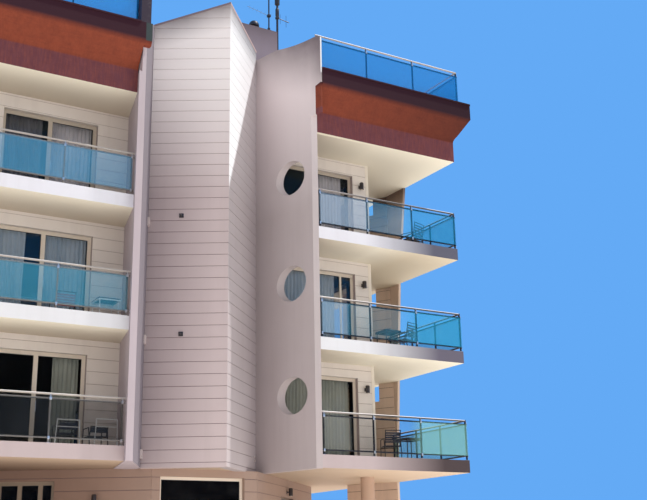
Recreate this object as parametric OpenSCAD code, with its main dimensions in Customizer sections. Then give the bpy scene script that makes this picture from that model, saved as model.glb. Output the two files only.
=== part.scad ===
// Four storey apartment block: two balcony wings on either side of a boarded, prow-shaped tower.
// Before the whole is centred, the balcony fronts lie on y = 0, x runs to the right and z is up.

/* [Storeys] */
// Height of the first floor above the ground
first_floor_h = 3800; // [3400:10:4200]
// Height from one floor to the next
storey_h = 3100; // [2900:10:3400]
// Thickness of the floor slabs with their balconies
slab_t = 344; // [250:2:400]
// Thickness of the slab inside the ground floor
ground_slab_t = 150; // [100:10:300]

/* [Left wing] */
// Width of one room behind the left balconies
bay_w = 3560; // [3400:10:4200]
// Number of rooms side by side in the left wing
bay_count = 3; // [2:1:4]
// From the right end of the left balconies back to the middle of the first balcony door
left_door_x = 1710; // [1650:10:1800]
// Depth of the balconies in front of the door walls
balcony_d = 1600; // [1300:10:1800]

/* [Right wing] */
// Wall between the porthole fin and the right balcony door
right_jamb_w = 120; // [100:5:400]
// Width of the right balconies where they turn along the side
side_balcony_w = 2080; // [1900:10:2200]
// From the corner of the right wing back to the edge of its balcony door
right_door_x = 550; // [400:10:600]

/* [Body] */
// Depth of the building from the balcony fronts to the rear face
building_d = 10400; // [10000:100:13000]
// Thickness of the outside walls
wall_t = 250; // [200:10:300]

/* [Doors and windows] */
// Width of the balcony door openings
door_w = 2480; // [2000:10:2500]
// Height of the balcony door openings
door_h = 2380; // [2100:10:2500]
// How far the door and window frames stand back in their openings
reveal_d = 120; // [60:5:130]
// Depth of the door and window frames
frame_d = 70; // [50:5:70]
// Face width of the door and window frames
frame_w = 75; // [50:5:100]
// Thickness of the door and window glass
pane_t = 24; // [12:1:30]
// Width of the rear windows
window_w = 1600; // [1000:10:2000]
// Height of the rear windows
window_h = 1300; // [900:10:1500]
// Height of the rear window sills above the floor
sill_h = 950; // [700:10:1100]

/* [Ground floor] */
// Top of the window below the tower above the ground
shop_head_h = 3270; // [2600:10:3300]
// Top of the window in the slanting wall above the ground
side_shop_head_h = 3180; // [2600:10:3300]
// How far the ground floor stands back below the tower
shop_setback = 250; // [200:10:400]
// Front of the wall below the tower, behind the balcony fronts
shop_y = 1550; // [1450:10:1700]
// Width of the window below the tower
shop_window_w = 2350; // [1500:10:2500]
// From the left corner below the tower to the near edge of that window
shop_window_x = 230; // [200:10:400]
// Width of the window in the slanting wall left of the tower
side_shop_w = 2500; // [1500:10:2600]
// From the corner below the tower to the near edge of that window
side_shop_x = 2410; // [1500:10:2450]
// Width of each leaf of that window
side_shop_leaf = 515; // [400:5:900]
// Width of its last leaf, next to the corner
side_shop_end_leaf = 365; // [300:5:600]
// Front of the straight ground floor wall on the left, behind the balcony fronts
left_shop_y = 4200; // [4150:10:4600]
// Width of the glazed door below the right wing
porch_door_w = 1420; // [1200:10:2000]
// Height of the glazed door below the right wing
porch_door_h = 2800; // [2100:10:2900]
// From the corner below the tower to the near edge of the glazed door
porch_door_x = 2410; // [600:10:2500]
// How far the ground floor side wall stands out from the rooms above it
ground_side_out = 400; // [0:10:600]

/* [Tower] */
// Left corner of the tower, to the right of the left balconies
tower_left_x = 970; // [900:10:1100]
// Left corner of the tower, behind the balcony fronts
tower_left_y = 1460; // [1300:10:1500]
// Ridge of the tower, to the right of the left balconies
ridge_x = 2810; // [2600:10:3000]
// Ridge of the tower, behind the balcony fronts
ridge_y = 390; // [200:10:600]
// Right corner of the tower, behind the balcony fronts
tower_right_y = 2246; // [2100:2:2400]
// Thickness of the tower walls
tower_wall_t = 240; // [200:10:300]
// How far the tower and the fins reach down below the underside of the first floor
tower_drop = 16; // [5:1:60]
// Top of the tower above the ground at its left corner
tower_left_top = 15700; // [15400:20:16000]
// Top of the tower above the ground at its ridge
ridge_top = 16390; // [16000:10:16800]
// Top of the tower above the ground at its right corner
tower_right_top = 16140; // [15800:20:16300]
// Height of the low roof of the tower above the roof deck
tower_roof_h = 1000; // [600:50:1100]

/* [Left fin] */
// Slant of the balcony side of the left fin
left_fin_a = 13; // [8:0.5:16]
// How far the left fin stands out in front of the balconies
left_fin_out = 264; // [200:2:280]
// Width of the narrow front of the left fin
left_fin_w = 235; // [200:5:260]
// How far the right edge of that front lies behind its left edge
left_fin_skew = 96; // [0:2:120]
// Top of the left fin above the ground at its front
left_fin_top = 14750; // [14650:10:15000]
// Height at which the fascia starts to pass in front of the left fin
left_fin_notch_h = 14000; // [13950:10:14080]
// Height at which the left fin starts to stand clear of the end of the fascia
left_fin_gap_h = 13300; // [13200:10:13400]
// Width of the gap between the end of the fascia and the left fin
left_fin_gap = 30; // [20:5:60]
// How far the head of the left fascia runs on past the front of the left fin
fascia_run_on = 50; // [0:5:80]

/* [Porthole fin] */
// Left face of the porthole fin at the balcony fronts, to the right of the left balconies
fin_x = 5180; // [5000:10:5400]
// Slant of the porthole fin
fin_a = 15; // [12:0.5:18]
// Thickness of the porthole fin along the front
fin_t = 190; // [150:5:230]
// Thickness of the fin above the roof edge and beside the fascia
fin_head_t = 45; // [35:5:80]
// Diameter of the round holes
porthole_d = 1000; // [700:10:1100]
// Height of the middle of the round holes above each floor
porthole_h = 1600; // [1500:10:1700]
// Middle of the round holes behind the balcony fronts
porthole_y = 840; // [700:10:950]
// How far the top of the fin stands out beside the fascia
fin_nose = 390; // [300:10:400]
// Width of the sheet that wraps the nose of the fin
wrap_w = 210; // [100:10:250]
// Top of the fin above the ground, beside the roof rail
fin_top = 15670; // [15500:10:16000]
// Height that the top of the fin curves up towards the back
fin_rise = 160; // [50:10:300]
// Where the top of the fin gets level again, behind the balcony fronts
fin_level_y = 1330; // [1000:10:1800]

/* [End screen] */
// Front edge of the end screen below the roof, behind the balcony fronts
screen_top_y = 2620; // [2400:10:2800]
// Front edge of the end screen below the third floor
screen_mid_y = 3090; // [2900:10:3200]
// Front edge of the end screen at the first floor and below it
screen_foot_y = 3580; // [3400:10:3590]
// Where the screen turns inwards, behind the balcony fronts
screen_turn_y = 3600; // [3600:10:3700]
// Angle by which it turns inwards
screen_a = 30; // [20:1:35]
// Rear edge of the end screen behind the balcony fronts
screen_back_y = 5100; // [5050:10:5300]
// Thickness of the end screen
screen_t = 80; // [70:5:120]
// Height of the slots at the top of each storey of the screen
slot_h = 560; // [300:10:700]
// Near edge of the slots behind the balcony fronts
slot_y = 4040; // [3950:10:4100]
// Width of the slots
slot_w = 860; // [300:10:880]

/* [Roof edge] */
// Height of the upright band at the foot of the fascia
fascia_foot_h = 610; // [500:10:700]
// Height of the part that slopes out
fascia_slope_h = 720; // [600:10:800]
// Height of the upright band at the top of the fascia
fascia_head_h = 500; // [450:10:600]
// How far the fascia slopes out
fascia_out = 410; // [390:5:450]
// Thickness of the fascia shell
fascia_t = 120; // [80:5:130]
// How far the fascia stands beyond the side of the balconies
fascia_side = 60; // [0:5:100]
// Thickness of the slab over the top balconies
canopy_t = 310; // [200:10:350]
// Thickness of the roof deck
deck_t = 300; // [200:10:320]
// How far the roof deck lies below the top of the fascia
deck_drop = 170; // [50:10:180]

/* [Rails] */
// Height of the balcony rails
rail_h = 1130; // [1000:10:1200]
// Diameter of the handrails
handrail_d = 50; // [40:2:60]
// Width of the square posts and lower rails
bar_w = 36; // [30:2:40]
// Gap between the handrail of the balconies and the rail below it
rail_gap = 60; // [40:5:150]
// Clear height below the bottom rail
foot_gap = 105; // [60:5:120]
// Thickness of the rail glass
rail_glass_t = 14; // [8:1:16]
// Gap between the panes of the rail glass
pane_gap = 16; // [8:2:30]
// How far the middle of the balcony rails stands back from the slab edges
rail_inset = 50; // [45:5:150]
// How far the last post stands from a wall that the rail runs up to
post_gap = 60; // [40:5:150]
// Greatest distance between posts
panel_w = 1760; // [1560:10:2000]
// How far the middle of the roof rail stands back from the fascia front
roof_rail_inset = 274; // [200:2:300]
// Height of the roof rail above the deck
roof_rail_h = 1330; // [1100:10:1400]
// Gap between the handrail of the roof and the rail below it
roof_rail_gap = 90; // [60:5:150]

/* [Columns and roof] */
// Diameter of the round columns
column_d = 400; // [300:10:500]
// Middle of the columns behind the balcony fronts
column_y = 2300; // [2000:10:2600]
// From the right edge of the balconies back to the middle of the right column
column_x = 1940; // [1500:10:2100]
// Distance from the left fin to the left wall of the roof cabin
cabin_x = 3000; // [2950:10:3200]
// Width of the roof cabin
cabin_w = 2610; // [2000:10:3000]
// Depth of the roof cabin
cabin_d = 2500; // [1500:20:3000]
// Thickness of the roof cabin walls
cabin_wall_t = 180; // [150:10:220]
// Top of the roof cabin above the ground
cabin_top = 17330; // [16900:10:17600]
// Diameter of the stronger antenna mast
mast_d = 70; // [50:2:90]
// Diameter of the slender antenna mast
thin_mast_d = 44; // [40:2:50]
// Top of the stronger mast above the ground
mast_top = 18700; // [18000:100:19500]
// Top of the slender mast above the ground
thin_mast_top = 18600; // [18000:100:19500]
// Distance of both masts behind the front of the roof cabin
mast_back = 80; // [50:10:400]
// From the right face of the roof cabin to the slender mast on its roof
thin_mast_in = 260; // [100:10:600]
// From the right end of the left balconies to the middle of the dark post on the roof edge
roof_post_x = 20; // [0:5:50]
// Width of the dark post at the end of the left fascia
roof_post_w = 270; // [200:10:300]
// Depth of that post
roof_post_d = 300; // [300:10:350]
// Height of that post above the fascia
roof_post_h = 1150; // [900:10:1300]

/* [Hidden] */

// Storeys with balconies, above the ground floor
storeys = 3;
// Number of sides that stand for a circle in measures
$fn = 48;
// Length of a cutting shape past the face that it cuts
cut = 20;

// Levels
function level(n) = first_floor_h + (n - 1) * storey_h;
canopy_z = level(storeys + 1) - canopy_t;
slope_z = canopy_z + fascia_foot_h;
head_z = slope_z + fascia_slope_h;
fascia_top = head_z + fascia_head_h;
deck_z = fascia_top - deck_drop;
// Underside of what covers storey n, the ground floor being storey 0
function ceiling(n) = n < storeys ? level(n + 1) - slab_t : canopy_z;
tower_foot_h = ceiling(0) - tower_drop;

// Main lines in plan
left_w = bay_w * bay_count;
fin_left_x = left_w + fin_x;
wall_back_y = balcony_d + wall_t;

// Slanting faces in plan, each given by its distance behind the balcony fronts
function left_fin_at(y) = [left_w + tan(left_fin_a) * y, y];
function fin_left_at(y) = [fin_left_x - tan(fin_a) * y, y];
function fin_right_at(y) = fin_left_at(y) + [fin_t, 0];
// The same for the thin upper part of the fin
function fin_head_at(y) = fin_left_at(y) + [fin_head_t, 0];
side_x = fin_right_at(balcony_d)[0] + right_jamb_w + door_w + right_door_x;
right_x = side_x + side_balcony_w;
fascia_x = right_x + fascia_side;
// Inner face of the end screen in plan, behind its turn
function screen_at(y) = [right_x - tan(screen_a) * (y - screen_turn_y), y];

// Plane geometry
function unit(v) = v / norm(v);
function left_of(v) = [-v[1], v[0]];
function turn_angle(v) = atan2(v[1], v[0]);
function cross2(a, b) = a[0] * b[1] - a[1] * b[0];
// Where the line through p in direction d meets the line through q in direction e
function meet(p, d, q, e) = p + d * (cross2(q - p, e) / cross2(d, e));
function reversed(list) = [for (i = [len(list) - 1:-1:0]) list[i]];
// A chain of points moved to the left by t, with mitred corners
function inner_chain(p, t) = [for (i = [0:len(p) - 1])
    let (a = unit(i == 0 ? p[1] - p[0] : p[i] - p[i - 1]),
        b = i == len(p) - 1 ? a : unit(p[i + 1] - p[i]))
    abs(cross2(a, b)) < 0.001 ? p[i] + left_of(a) * t
        : meet(p[i] + left_of(a) * t, a, p[i] + left_of(b) * t, b)];

// Corners of the tower, outside then inside
tower_left = [left_w + tower_left_x, tower_left_y];
ridge = [left_w + ridge_x, ridge_y];
tower_right = fin_left_at(tower_right_y);
left_dir = unit(ridge - tower_left);
right_dir = unit(tower_right - ridge);
fin_dir = unit(fin_left_at(1) - fin_left_at(0));
tower_inner = inner_chain([tower_left, ridge, tower_right], tower_wall_t);
tower_left_in = meet(tower_inner[0], left_dir, tower_left, [0, 1]);
ridge_in = tower_inner[1];
tower_right_in = meet(ridge_in, right_dir, fin_left_at(0), fin_dir);
fin_back_y = tower_right_in[1] + wall_t;
cabin_back_y = fin_back_y + cabin_d;

// Corners of the ground floor, from the left end wall round to the rear
shop_left = meet(tower_left + left_of(left_dir) * shop_setback, left_dir, [0, shop_y], [1, 0]);
shop_right = meet(ridge - left_of(right_dir) * shop_setback, right_dir, [0, shop_y], [1, 0]);
splay_end = meet(shop_left, left_dir, [0, left_shop_y], [1, 0]);
ground_side_x = side_x + ground_side_out;
porch_end = meet(shop_right, right_dir, [ground_side_x, 0], [0, 1]);
ground_line = [[wall_t, left_shop_y], splay_end, shop_left, shop_right, porch_end,
    [ground_side_x, building_d], [wall_t, building_d]];
ground_inner = inner_chain(ground_line, wall_t);
porch_i = 4;

// Sets the middle of the building's plan over the origin
module placed() {
    translate([-(fascia_x + fascia_out) / 2, -building_d / 2, 0])
        children();
}

module prism(points, z0, z1) {
    translate([0, 0, z0])
        linear_extrude(z1 - z0)
            polygon(points);
}

// A block between its lowest and highest corners
module block(a, b) {
    translate(a)
        cube(b - a);
}

// A flat shape, drawn as distance behind the front and height, run along x from x0 to x1
module along_x(x0, x1) {
    translate([x0, 0, 0])
        rotate([90, 0, 90])
            linear_extrude(x1 - x0)
                children();
}

// A flat shape, drawn as distance along a wall and height, as thick as t to the left of the wall's face
module on_wall(p, d, t) {
    translate([p[0], p[1], 0])
        rotate([0, 0, turn_angle(d)])
            translate([0, t, 0])
                rotate([90, 0, 0])
                    linear_extrude(t)
                        children();
}

// Outline of a storey: balconies and rooms, stepping back round the fins and the tower
function floor_outline(front, right, rear) = [
    [wall_t, front], left_fin_at(front), left_fin_at(wall_back_y), [tower_left[0], wall_back_y],
    tower_left_in, ridge_in, tower_right_in, fin_left_at(fin_back_y), fin_right_at(fin_back_y),
    fin_right_at(front), [right, front], [right, rear], [wall_t, rear]];

// The inner and the outer face of the end screen in plan, from its foremost edge to its rear edge
screen_inner = [[right_x, screen_top_y], screen_at(screen_turn_y), screen_at(screen_back_y)];
screen_outer = inner_chain(screen_inner, -screen_t);
// Its front edge, as distance behind the balcony fronts and height
screen_edge = [[screen_foot_y, 0], [screen_foot_y, level(1)], [screen_mid_y, ceiling(storeys - 1)],
    [screen_top_y, canopy_z]];

module floor_slab(n) {
    color("white") placed()
        difference() {
            prism(floor_outline(0, right_x, building_d), level(n) - slab_t, level(n));
            prism([screen_inner[1], screen_outer[1], screen_outer[2], screen_inner[2]],
                level(n) - slab_t - cut, level(n) + cut);
        }
}

// Balcony doors: middle of each opening along its wall
left_doors = [for (i = [0:bay_count - 1]) left_w - left_door_x - i * bay_w];
right_door = side_x - right_door_x - door_w / 2;
side_run = building_d - balcony_d;
side_doors = [for (i = [0:1]) balcony_d + side_run * (2 * i + 1) / 4];
// Rear windows: middle of each opening along x
rear_count = floor((side_x - 2 * wall_t) / bay_w);
rear_windows = [for (i = [0:rear_count - 1]) side_x / 2 + (i - (rear_count - 1) / 2) * bay_w];

// An opening of w by h in a wall whose face is on y = 0, with its foot in the middle at the origin
module opening(w, h, t) {
    block([-w / 2, -cut, 0], [w / 2, t + cut, h]);
}

// Left and right edges of the panes of a frame w wide, with stiles at these distances from its middle
function pane_edges(w, stiles) =
    let (lines = concat([(frame_w - w) / 2], stiles, [(w - frame_w) / 2]))
    [for (i = [1:len(lines) - 1]) [lines[i - 1] + frame_w / 2, lines[i] - frame_w / 2]];

// A frame that fills such an opening
module frame(w, h, stiles = [0]) {
    difference() {
        block([-w / 2, reveal_d, 0], [w / 2, reveal_d + frame_d, h]);
        for (x = pane_edges(w, stiles))
            block([x[0], reveal_d - cut, frame_w], [x[1], reveal_d + frame_d + cut, h - frame_w]);
    }
}

// The panes in that frame
module panes(w, h, stiles = [0]) {
    y = reveal_d + (frame_d - pane_t) / 2;
    for (x = pane_edges(w, stiles))
        block([x[0], y, frame_w], [x[1], y + pane_t, h - frame_w]);
}

// Places the same thing at every opening of storey n in one wall
module at_left_doors(n) {
    for (x = left_doors)
        translate([x, balcony_d, level(n)])
            children();
}

module at_right_door(n) {
    translate([right_door, balcony_d, level(n)])
        children();
}

module at_side_doors(n) {
    for (y = side_doors)
        translate([side_x, y, level(n)])
            rotate([0, 0, 90])
                children();
}

module at_rear_windows(n) {
    for (x = rear_windows)
        translate([x, building_d, n == 0 ? ground_slab_t + sill_h : level(n) + sill_h])
            rotate([0, 0, 180])
                children();
}

// Places something at the three glazed openings at the front of the ground floor
module at_shop_window() {
    translate([shop_left[0] + shop_window_x + shop_window_w / 2, shop_y, ground_slab_t])
        children();
}

module at_side_shop() {
    x = side_shop_x + side_shop_w / 2;
    p = shop_left - left_dir * x;
    translate([p[0], p[1], ground_slab_t])
        rotate([0, 0, turn_angle(left_dir)])
            children();
}

module at_porch_door() {
    p = shop_right + right_dir * (porch_door_x + porch_door_w / 2);
    translate([p[0], p[1], ground_slab_t])
        rotate([0, 0, turn_angle(right_dir)])
            children();
}

shop_h = shop_head_h - ground_slab_t;
side_shop_h = side_shop_head_h - ground_slab_t;
// Stiles between the leaves of the window in the slanting wall, from its middle
leaf_steps = floor((side_shop_w - side_shop_end_leaf) / side_shop_leaf - 0.5);
side_shop_stiles = [for (i = [leaf_steps:-1:0]) side_shop_w / 2 - side_shop_end_leaf - i * side_shop_leaf];

// Walls of the rooms above storey n = 1 to 3, and of the low space under the roof deck
function wall_foot(n) = n <= storeys ? level(n) : canopy_z + canopy_t;
function wall_head(n) = n <= storeys ? ceiling(n) : deck_z - deck_t;
function wall_rear(n) = n <= storeys ? building_d : building_d - fascia_t;

// Plan of the ground floor walls between two corners
function wall_plan(a, b) = concat([for (i = [a:b]) ground_line[i]], [for (i = [b:-1:a]) ground_inner[i]]);

module ground_slab() {
    color("silver") placed()
        prism(ground_inner, 0, ground_slab_t);
}

module ground_front_walls() {
    color("mistyrose") placed()
        difference() {
            prism(wall_plan(0, porch_i), 0, ceiling(0));
            at_shop_window()
                opening(shop_window_w, shop_h, wall_t);
            at_side_shop()
                opening(side_shop_w, side_shop_h, wall_t);
            at_porch_door()
                opening(porch_door_w, porch_door_h, wall_t);
        }
}

module ground_rear_walls() {
    last = len(ground_line) - 1;
    color("mistyrose") placed()
        difference() {
            prism(wall_plan(porch_i, last), 0, ceiling(0));
            at_rear_windows(0)
                opening(window_w, window_h, wall_t);
        }
}

module porch_columns() {
    places = concat([[right_x - column_x, column_y]],
        [for (i = [1:bay_count - 1]) [left_w - i * bay_w, column_y]]);
    color("mistyrose") placed()
        for (p = places)
            translate([p[0], p[1], 0])
                cylinder(h = ceiling(0), d = column_d);
}

module floor_1() { floor_slab(1); }
module floor_2() { floor_slab(2); }
module floor_3() { floor_slab(3); }

module canopy_slab() {
    color("cornsilk") placed()
        prism(floor_outline(fascia_t, fascia_x - fascia_t, building_d - fascia_t),
            canopy_z, canopy_z + canopy_t);
}

module roof_deck() {
    reach = fascia_out - fascia_t;
    color("gainsboro") placed() {
        prism(floor_outline(-reach, fascia_x + reach, building_d + reach), deck_z - deck_t, deck_z);
        prism([fin_head_at(-reach), fin_right_at(-reach) + [cut, 0], fin_right_at(0) + [cut, 0],
            fin_head_at(0)], deck_z - deck_t, deck_z);
    }
}

module front_wall_left() {
    color("mistyrose") placed()
        for (n = [1:storeys + 1])
            difference() {
                prism([[wall_t, balcony_d], left_fin_at(balcony_d), left_fin_at(wall_back_y),
                    [wall_t, wall_back_y]], wall_foot(n), wall_head(n));
                if (n <= storeys)
                    at_left_doors(n)
                        opening(door_w, door_h, wall_t);
            }
}

module front_wall_right() {
    color("mistyrose") placed()
        for (n = [1:storeys + 1])
            difference() {
                prism([fin_right_at(balcony_d), [side_x, balcony_d], [side_x, wall_back_y],
                    fin_right_at(wall_back_y)], wall_foot(n), wall_head(n));
                if (n <= storeys)
                    at_right_door(n)
                        opening(door_w, door_h, wall_t);
            }
}

module side_wall() {
    color("mistyrose") placed()
        for (n = [1:storeys + 1])
            difference() {
                block([side_x - wall_t, wall_back_y, wall_foot(n)],
                    [side_x, wall_rear(n) - wall_t, wall_head(n)]);
                if (n <= storeys)
                    at_side_doors(n)
                        opening(door_w, door_h, wall_t);
            }
}

module rear_wall() {
    color("mistyrose") placed()
        for (n = [1:storeys + 1])
            difference() {
                block([wall_t, wall_rear(n) - wall_t, wall_foot(n)], [side_x, wall_rear(n), wall_head(n)]);
                if (n <= storeys)
                    at_rear_windows(n)
                        opening(window_w, window_h, wall_t);
            }
}

module end_wall() {
    color("mistyrose") placed() {
        block([0, 0, 0], [wall_t, building_d, canopy_z]);
        block([0, fascia_t, canopy_z - cut], [wall_t, building_d - fascia_t, fascia_top]);
    }
}

module tower_left_wall() {
    length = norm(ridge - tower_left);
    rise = (ridge_top - tower_left_top) / length;
    color("thistle") placed()
        intersection() {
            prism([tower_left, ridge, ridge_in, tower_left_in], tower_foot_h, ridge_top + cut);
            on_wall(tower_left, left_dir, 2 * tower_wall_t)
                polygon([[-cut, tower_foot_h], [length + tower_wall_t, tower_foot_h],
                    [length + tower_wall_t, ridge_top + rise * tower_wall_t],
                    [-cut, tower_left_top - rise * cut]]);
        }
}

module tower_right_wall() {
    length = norm(tower_right - ridge);
    rise = (tower_right_top - ridge_top) / length;
    color("seashell") placed()
        intersection() {
            prism([ridge, tower_right, tower_right_in, ridge_in], tower_foot_h, ridge_top + cut);
            on_wall(ridge, right_dir, 2 * tower_wall_t)
                polygon([[-cut, tower_foot_h], [length + tower_wall_t, tower_foot_h],
                    [length + tower_wall_t, tower_right_top + rise * tower_wall_t],
                    [-cut, ridge_top - rise * cut]]);
        }
}

// Low roof inside the tower's walls, closed by an upstand at the back
module tower_roof() {
    back = fin_back_y;
    color("gainsboro") placed() {
        prism([tower_left_in, ridge_in, tower_right_in, fin_left_at(back), [tower_left[0], back]],
            deck_z + tower_roof_h - wall_t, deck_z + tower_roof_h);
        block([tower_left[0], back - wall_t, deck_z], [fin_left_at(back)[0], back, deck_z + tower_roof_h]);
        block([tower_left[0], wall_back_y, deck_z], [tower_left[0] + wall_t, back, deck_z + tower_roof_h]);
    }
}

// Section of the fascia: an upright foot, a hollow curve, a straight slope and an upright head.
// The distance d moves the whole line inwards.
curve_n = 6;
curve_h = 210;
curve_out = 95;
function fascia_line(d) = concat(
    [[d, canopy_z]],
    [for (i = [0:curve_n]) let (s = i / curve_n) [d - curve_out * s * s, slope_z + curve_h * s]],
    [[d - fascia_out, head_z], [d - fascia_out, fascia_top]]);

module fascia_section() {
    polygon(concat(fascia_line(0), reversed(fascia_line(fascia_t))));
}

// The fascia with everything behind it, as far back as its foot
module fascia_end_section() {
    polygon(concat(fascia_line(0), [[fascia_t, fascia_top], [fascia_t, canopy_z]]));
}

// Everything in front of the inside of the fascia
module before_fascia() {
    polygon(concat(fascia_line(fascia_t), [[-2 * fascia_out, fascia_top], [-2 * fascia_out, canopy_z]]));
}

// The front of the left fin, and the point where the tower begins
fin_front_left = left_fin_at(-left_fin_out);
fin_front_right = fin_front_left + [sqrt(pow(left_fin_w, 2) - pow(left_fin_skew, 2)), left_fin_skew];
left_fin_plan = [fin_front_left, fin_front_right, tower_left, [tower_left[0], wall_back_y],
    left_fin_at(wall_back_y)];
cap_t = 100;

module left_fin_solid() {
    difference() {
        intersection() {
            prism(left_fin_plan, tower_foot_h, tower_left_top);
            along_x(left_w - left_fin_out, tower_left[0] + cut)
                polygon([[-2 * left_fin_out, tower_foot_h], [wall_back_y + cut, tower_foot_h],
                    [wall_back_y + cut, tower_left_top], [tower_left[1], tower_left_top],
                    [fin_front_right[1], left_fin_top], [-2 * left_fin_out, left_fin_top]]);
        }
        intersection() {
            along_x(left_w - left_fin_out, fin_front_right[0] + fascia_run_on)
                before_fascia();
            block([0, -3 * fascia_out, left_fin_notch_h], [left_w + fin_x, fascia_t, fascia_top + cut]);
        }
        block([0, -3 * fascia_out, left_fin_gap_h], [left_w + left_fin_gap, fascia_t, left_fin_notch_h]);
    }
}

module left_fin() {
    color("lavenderblush") placed()
        left_fin_solid();
}

module fascia_left() {
    color("saddlebrown") placed()
        difference() {
            union() {
                along_x(0, fin_front_right[0] + fascia_run_on)
                    fascia_section();
                along_x(0, cap_t)
                    fascia_end_section();
            }
            block([left_w, -2 * fascia_out, left_fin_gap_h], [2 * left_w, fascia_t, left_fin_notch_h]);
            left_fin_solid();
        }
}

// The nose of the porthole fin that the brown sheet wraps
wrap_z0 = slope_z - 170;
wrap_z1 = head_z + 50;
wrap_chamfer = 60;
module wrap_section() {
    polygon([[-fin_nose, wrap_z0], [wrap_w - fin_nose, wrap_z0], [wrap_w - fin_nose, wrap_z1 - wrap_chamfer],
        [-fin_nose, wrap_z1]]);
}

// Plan of a wall of thickness t along the porthole fin's left face, from y0 to y1
function fin_plan(y0, y1, t) = [fin_left_at(y0), fin_left_at(y0) + [t, 0], fin_left_at(y1) + [t, 0],
    fin_left_at(y1)];

// Top of the fin: the nose is cut off slanting, then a hollow curve leads up to a level stretch
nose_drop = 80;
nose_run = 130;
rise_n = 8;
fin_top_line = concat([[-fin_nose, fin_top - nose_drop], [nose_run - fin_nose, fin_top]],
    [for (i = [0:rise_n]) [fin_level_y * i / rise_n, fin_top + fin_rise * pow(i / rise_n, 2)]],
    [[fin_back_y, fin_top + fin_rise]]);

module porthole_fin() {
    color("rosybrown") placed()
        difference() {
            union() {
                prism(fin_plan(0, fin_back_y, fin_t), tower_foot_h, deck_z);
                intersection() {
                    prism(fin_plan(-fin_nose, fin_back_y, fin_head_t), wrap_z0, fin_top + fin_rise);
                    along_x(0, right_x)
                        polygon(concat([[fin_back_y, wrap_z0], [-fin_nose, wrap_z0]], fin_top_line));
                }
            }
            along_x(0, right_x)
                wrap_section();
            for (n = [1:storeys])
                translate([fin_left_at(porthole_y)[0], porthole_y, level(n) + porthole_h])
                    rotate([0, 0, -fin_a])
                        rotate([0, 90, 0])
                            cylinder(h = 4 * fin_t, d = porthole_d, center = true);
        }
}

module end_screen_solid() {
    back = screen_back_y + screen_t;
    difference() {
        intersection() {
            prism(concat(screen_inner, reversed(screen_outer)), 0, canopy_z);
            along_x(side_x, right_x + screen_t + cut)
                polygon(concat([[back, canopy_z], [back, 0]], screen_edge));
        }
        for (n = [1:storeys])
            block([side_x, slot_y, ceiling(n) - slot_h],
                [right_x + screen_t + cut, slot_y + slot_w, ceiling(n)]);
    }
}

module end_screen() {
    color("sienna") placed()
        end_screen_solid();
}

// Plan area of the fascia along one side, cut at 45 degrees at the corners
mitre = 800;
module fascia_right() {
    front = [fascia_x, 0];
    rear = [fascia_x, building_d];
    color("saddlebrown") placed() {
        difference() {
            intersection() {
                along_x(fin_left_x - 2 * fin_t, fascia_x + fascia_out)
                    fascia_section();
                prism([[left_w, -mitre], front + [mitre, -mitre], front + [-mitre, mitre], [left_w, mitre]],
                    canopy_z, fascia_top);
            }
            prism([fin_head_at(-mitre), fin_head_at(0), fin_right_at(0), fin_right_at(mitre), [left_w, mitre],
                [left_w, -mitre]], canopy_z - cut, fascia_top + cut);
        }
        intersection() {
            translate([fascia_x, 0, 0])
                rotate([0, 0, 90])
                    along_x(-fascia_out, building_d + fascia_out)
                        fascia_section();
            prism([front + [mitre, -mitre], rear + [mitre, mitre], rear + [-mitre, -mitre],
                front + [-mitre, mitre]], canopy_z, fascia_top);
        }
        intersection() {
            prism(fin_plan(-fin_nose, 0, fin_head_t), canopy_z, fascia_top);
            along_x(0, right_x)
                wrap_section();
        }
    }
}

module fascia_rear() {
    rear = [fascia_x, building_d];
    color("saddlebrown") placed() {
        intersection() {
            translate([0, building_d, 0])
                mirror([0, 1, 0])
                    along_x(0, fascia_x + fascia_out)
                        fascia_section();
            prism([[0, building_d + mitre], rear + [mitre, mitre], rear + [-mitre, -mitre],
                [0, building_d - mitre]], canopy_z, fascia_top);
        }
        translate([0, building_d, 0])
            mirror([0, 1, 0])
                along_x(0, cap_t)
                    fascia_end_section();
    }
}

// Cabin on the roof behind the tower and the porthole fin
cabin_left = left_w + cabin_x;
cabin_right = cabin_left + cabin_w;

module roof_cabin() {
    color("rosybrown") placed()
        difference() {
            block([cabin_left, fin_back_y, deck_z], [cabin_right, cabin_back_y, cabin_top]);
            block([cabin_left + cabin_wall_t, fin_back_y + cabin_wall_t, deck_z - cut],
                [cabin_right - cabin_wall_t, cabin_back_y - cabin_wall_t, cabin_top - cabin_wall_t]);
        }
}

module door_frames(n) {
    color("wheat") placed() {
        at_left_doors(n) frame(door_w, door_h);
        at_right_door(n) frame(door_w, door_h);
        at_side_doors(n) frame(door_w, door_h);
    }
}

module door_glass(n) {
    color("steelblue") placed() {
        at_left_doors(n) panes(door_w, door_h);
        at_right_door(n) panes(door_w, door_h);
        at_side_doors(n) panes(door_w, door_h);
    }
}

module door_frames_1() { door_frames(1); }
module door_frames_2() { door_frames(2); }
module door_frames_3() { door_frames(3); }
module door_glass_1() { door_glass(1); }
module door_glass_2() { door_glass(2); }
module door_glass_3() { door_glass(3); }

module window_frames() {
    color("wheat") placed() {
        at_shop_window() frame(shop_window_w, shop_h, []);
        at_side_shop() frame(side_shop_w, side_shop_h, side_shop_stiles);
        at_porch_door() frame(porch_door_w, porch_door_h);
        for (n = [0:storeys])
            at_rear_windows(n) frame(window_w, window_h);
    }
}

module window_glass() {
    color("steelblue") placed() {
        at_shop_window() panes(shop_window_w, shop_h, []);
        at_side_shop() panes(side_shop_w, side_shop_h, side_shop_stiles);
        at_porch_door() panes(porch_door_w, porch_door_h);
        for (n = [0:storeys])
            at_rear_windows(n) panes(window_w, window_h);
    }
}

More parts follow.
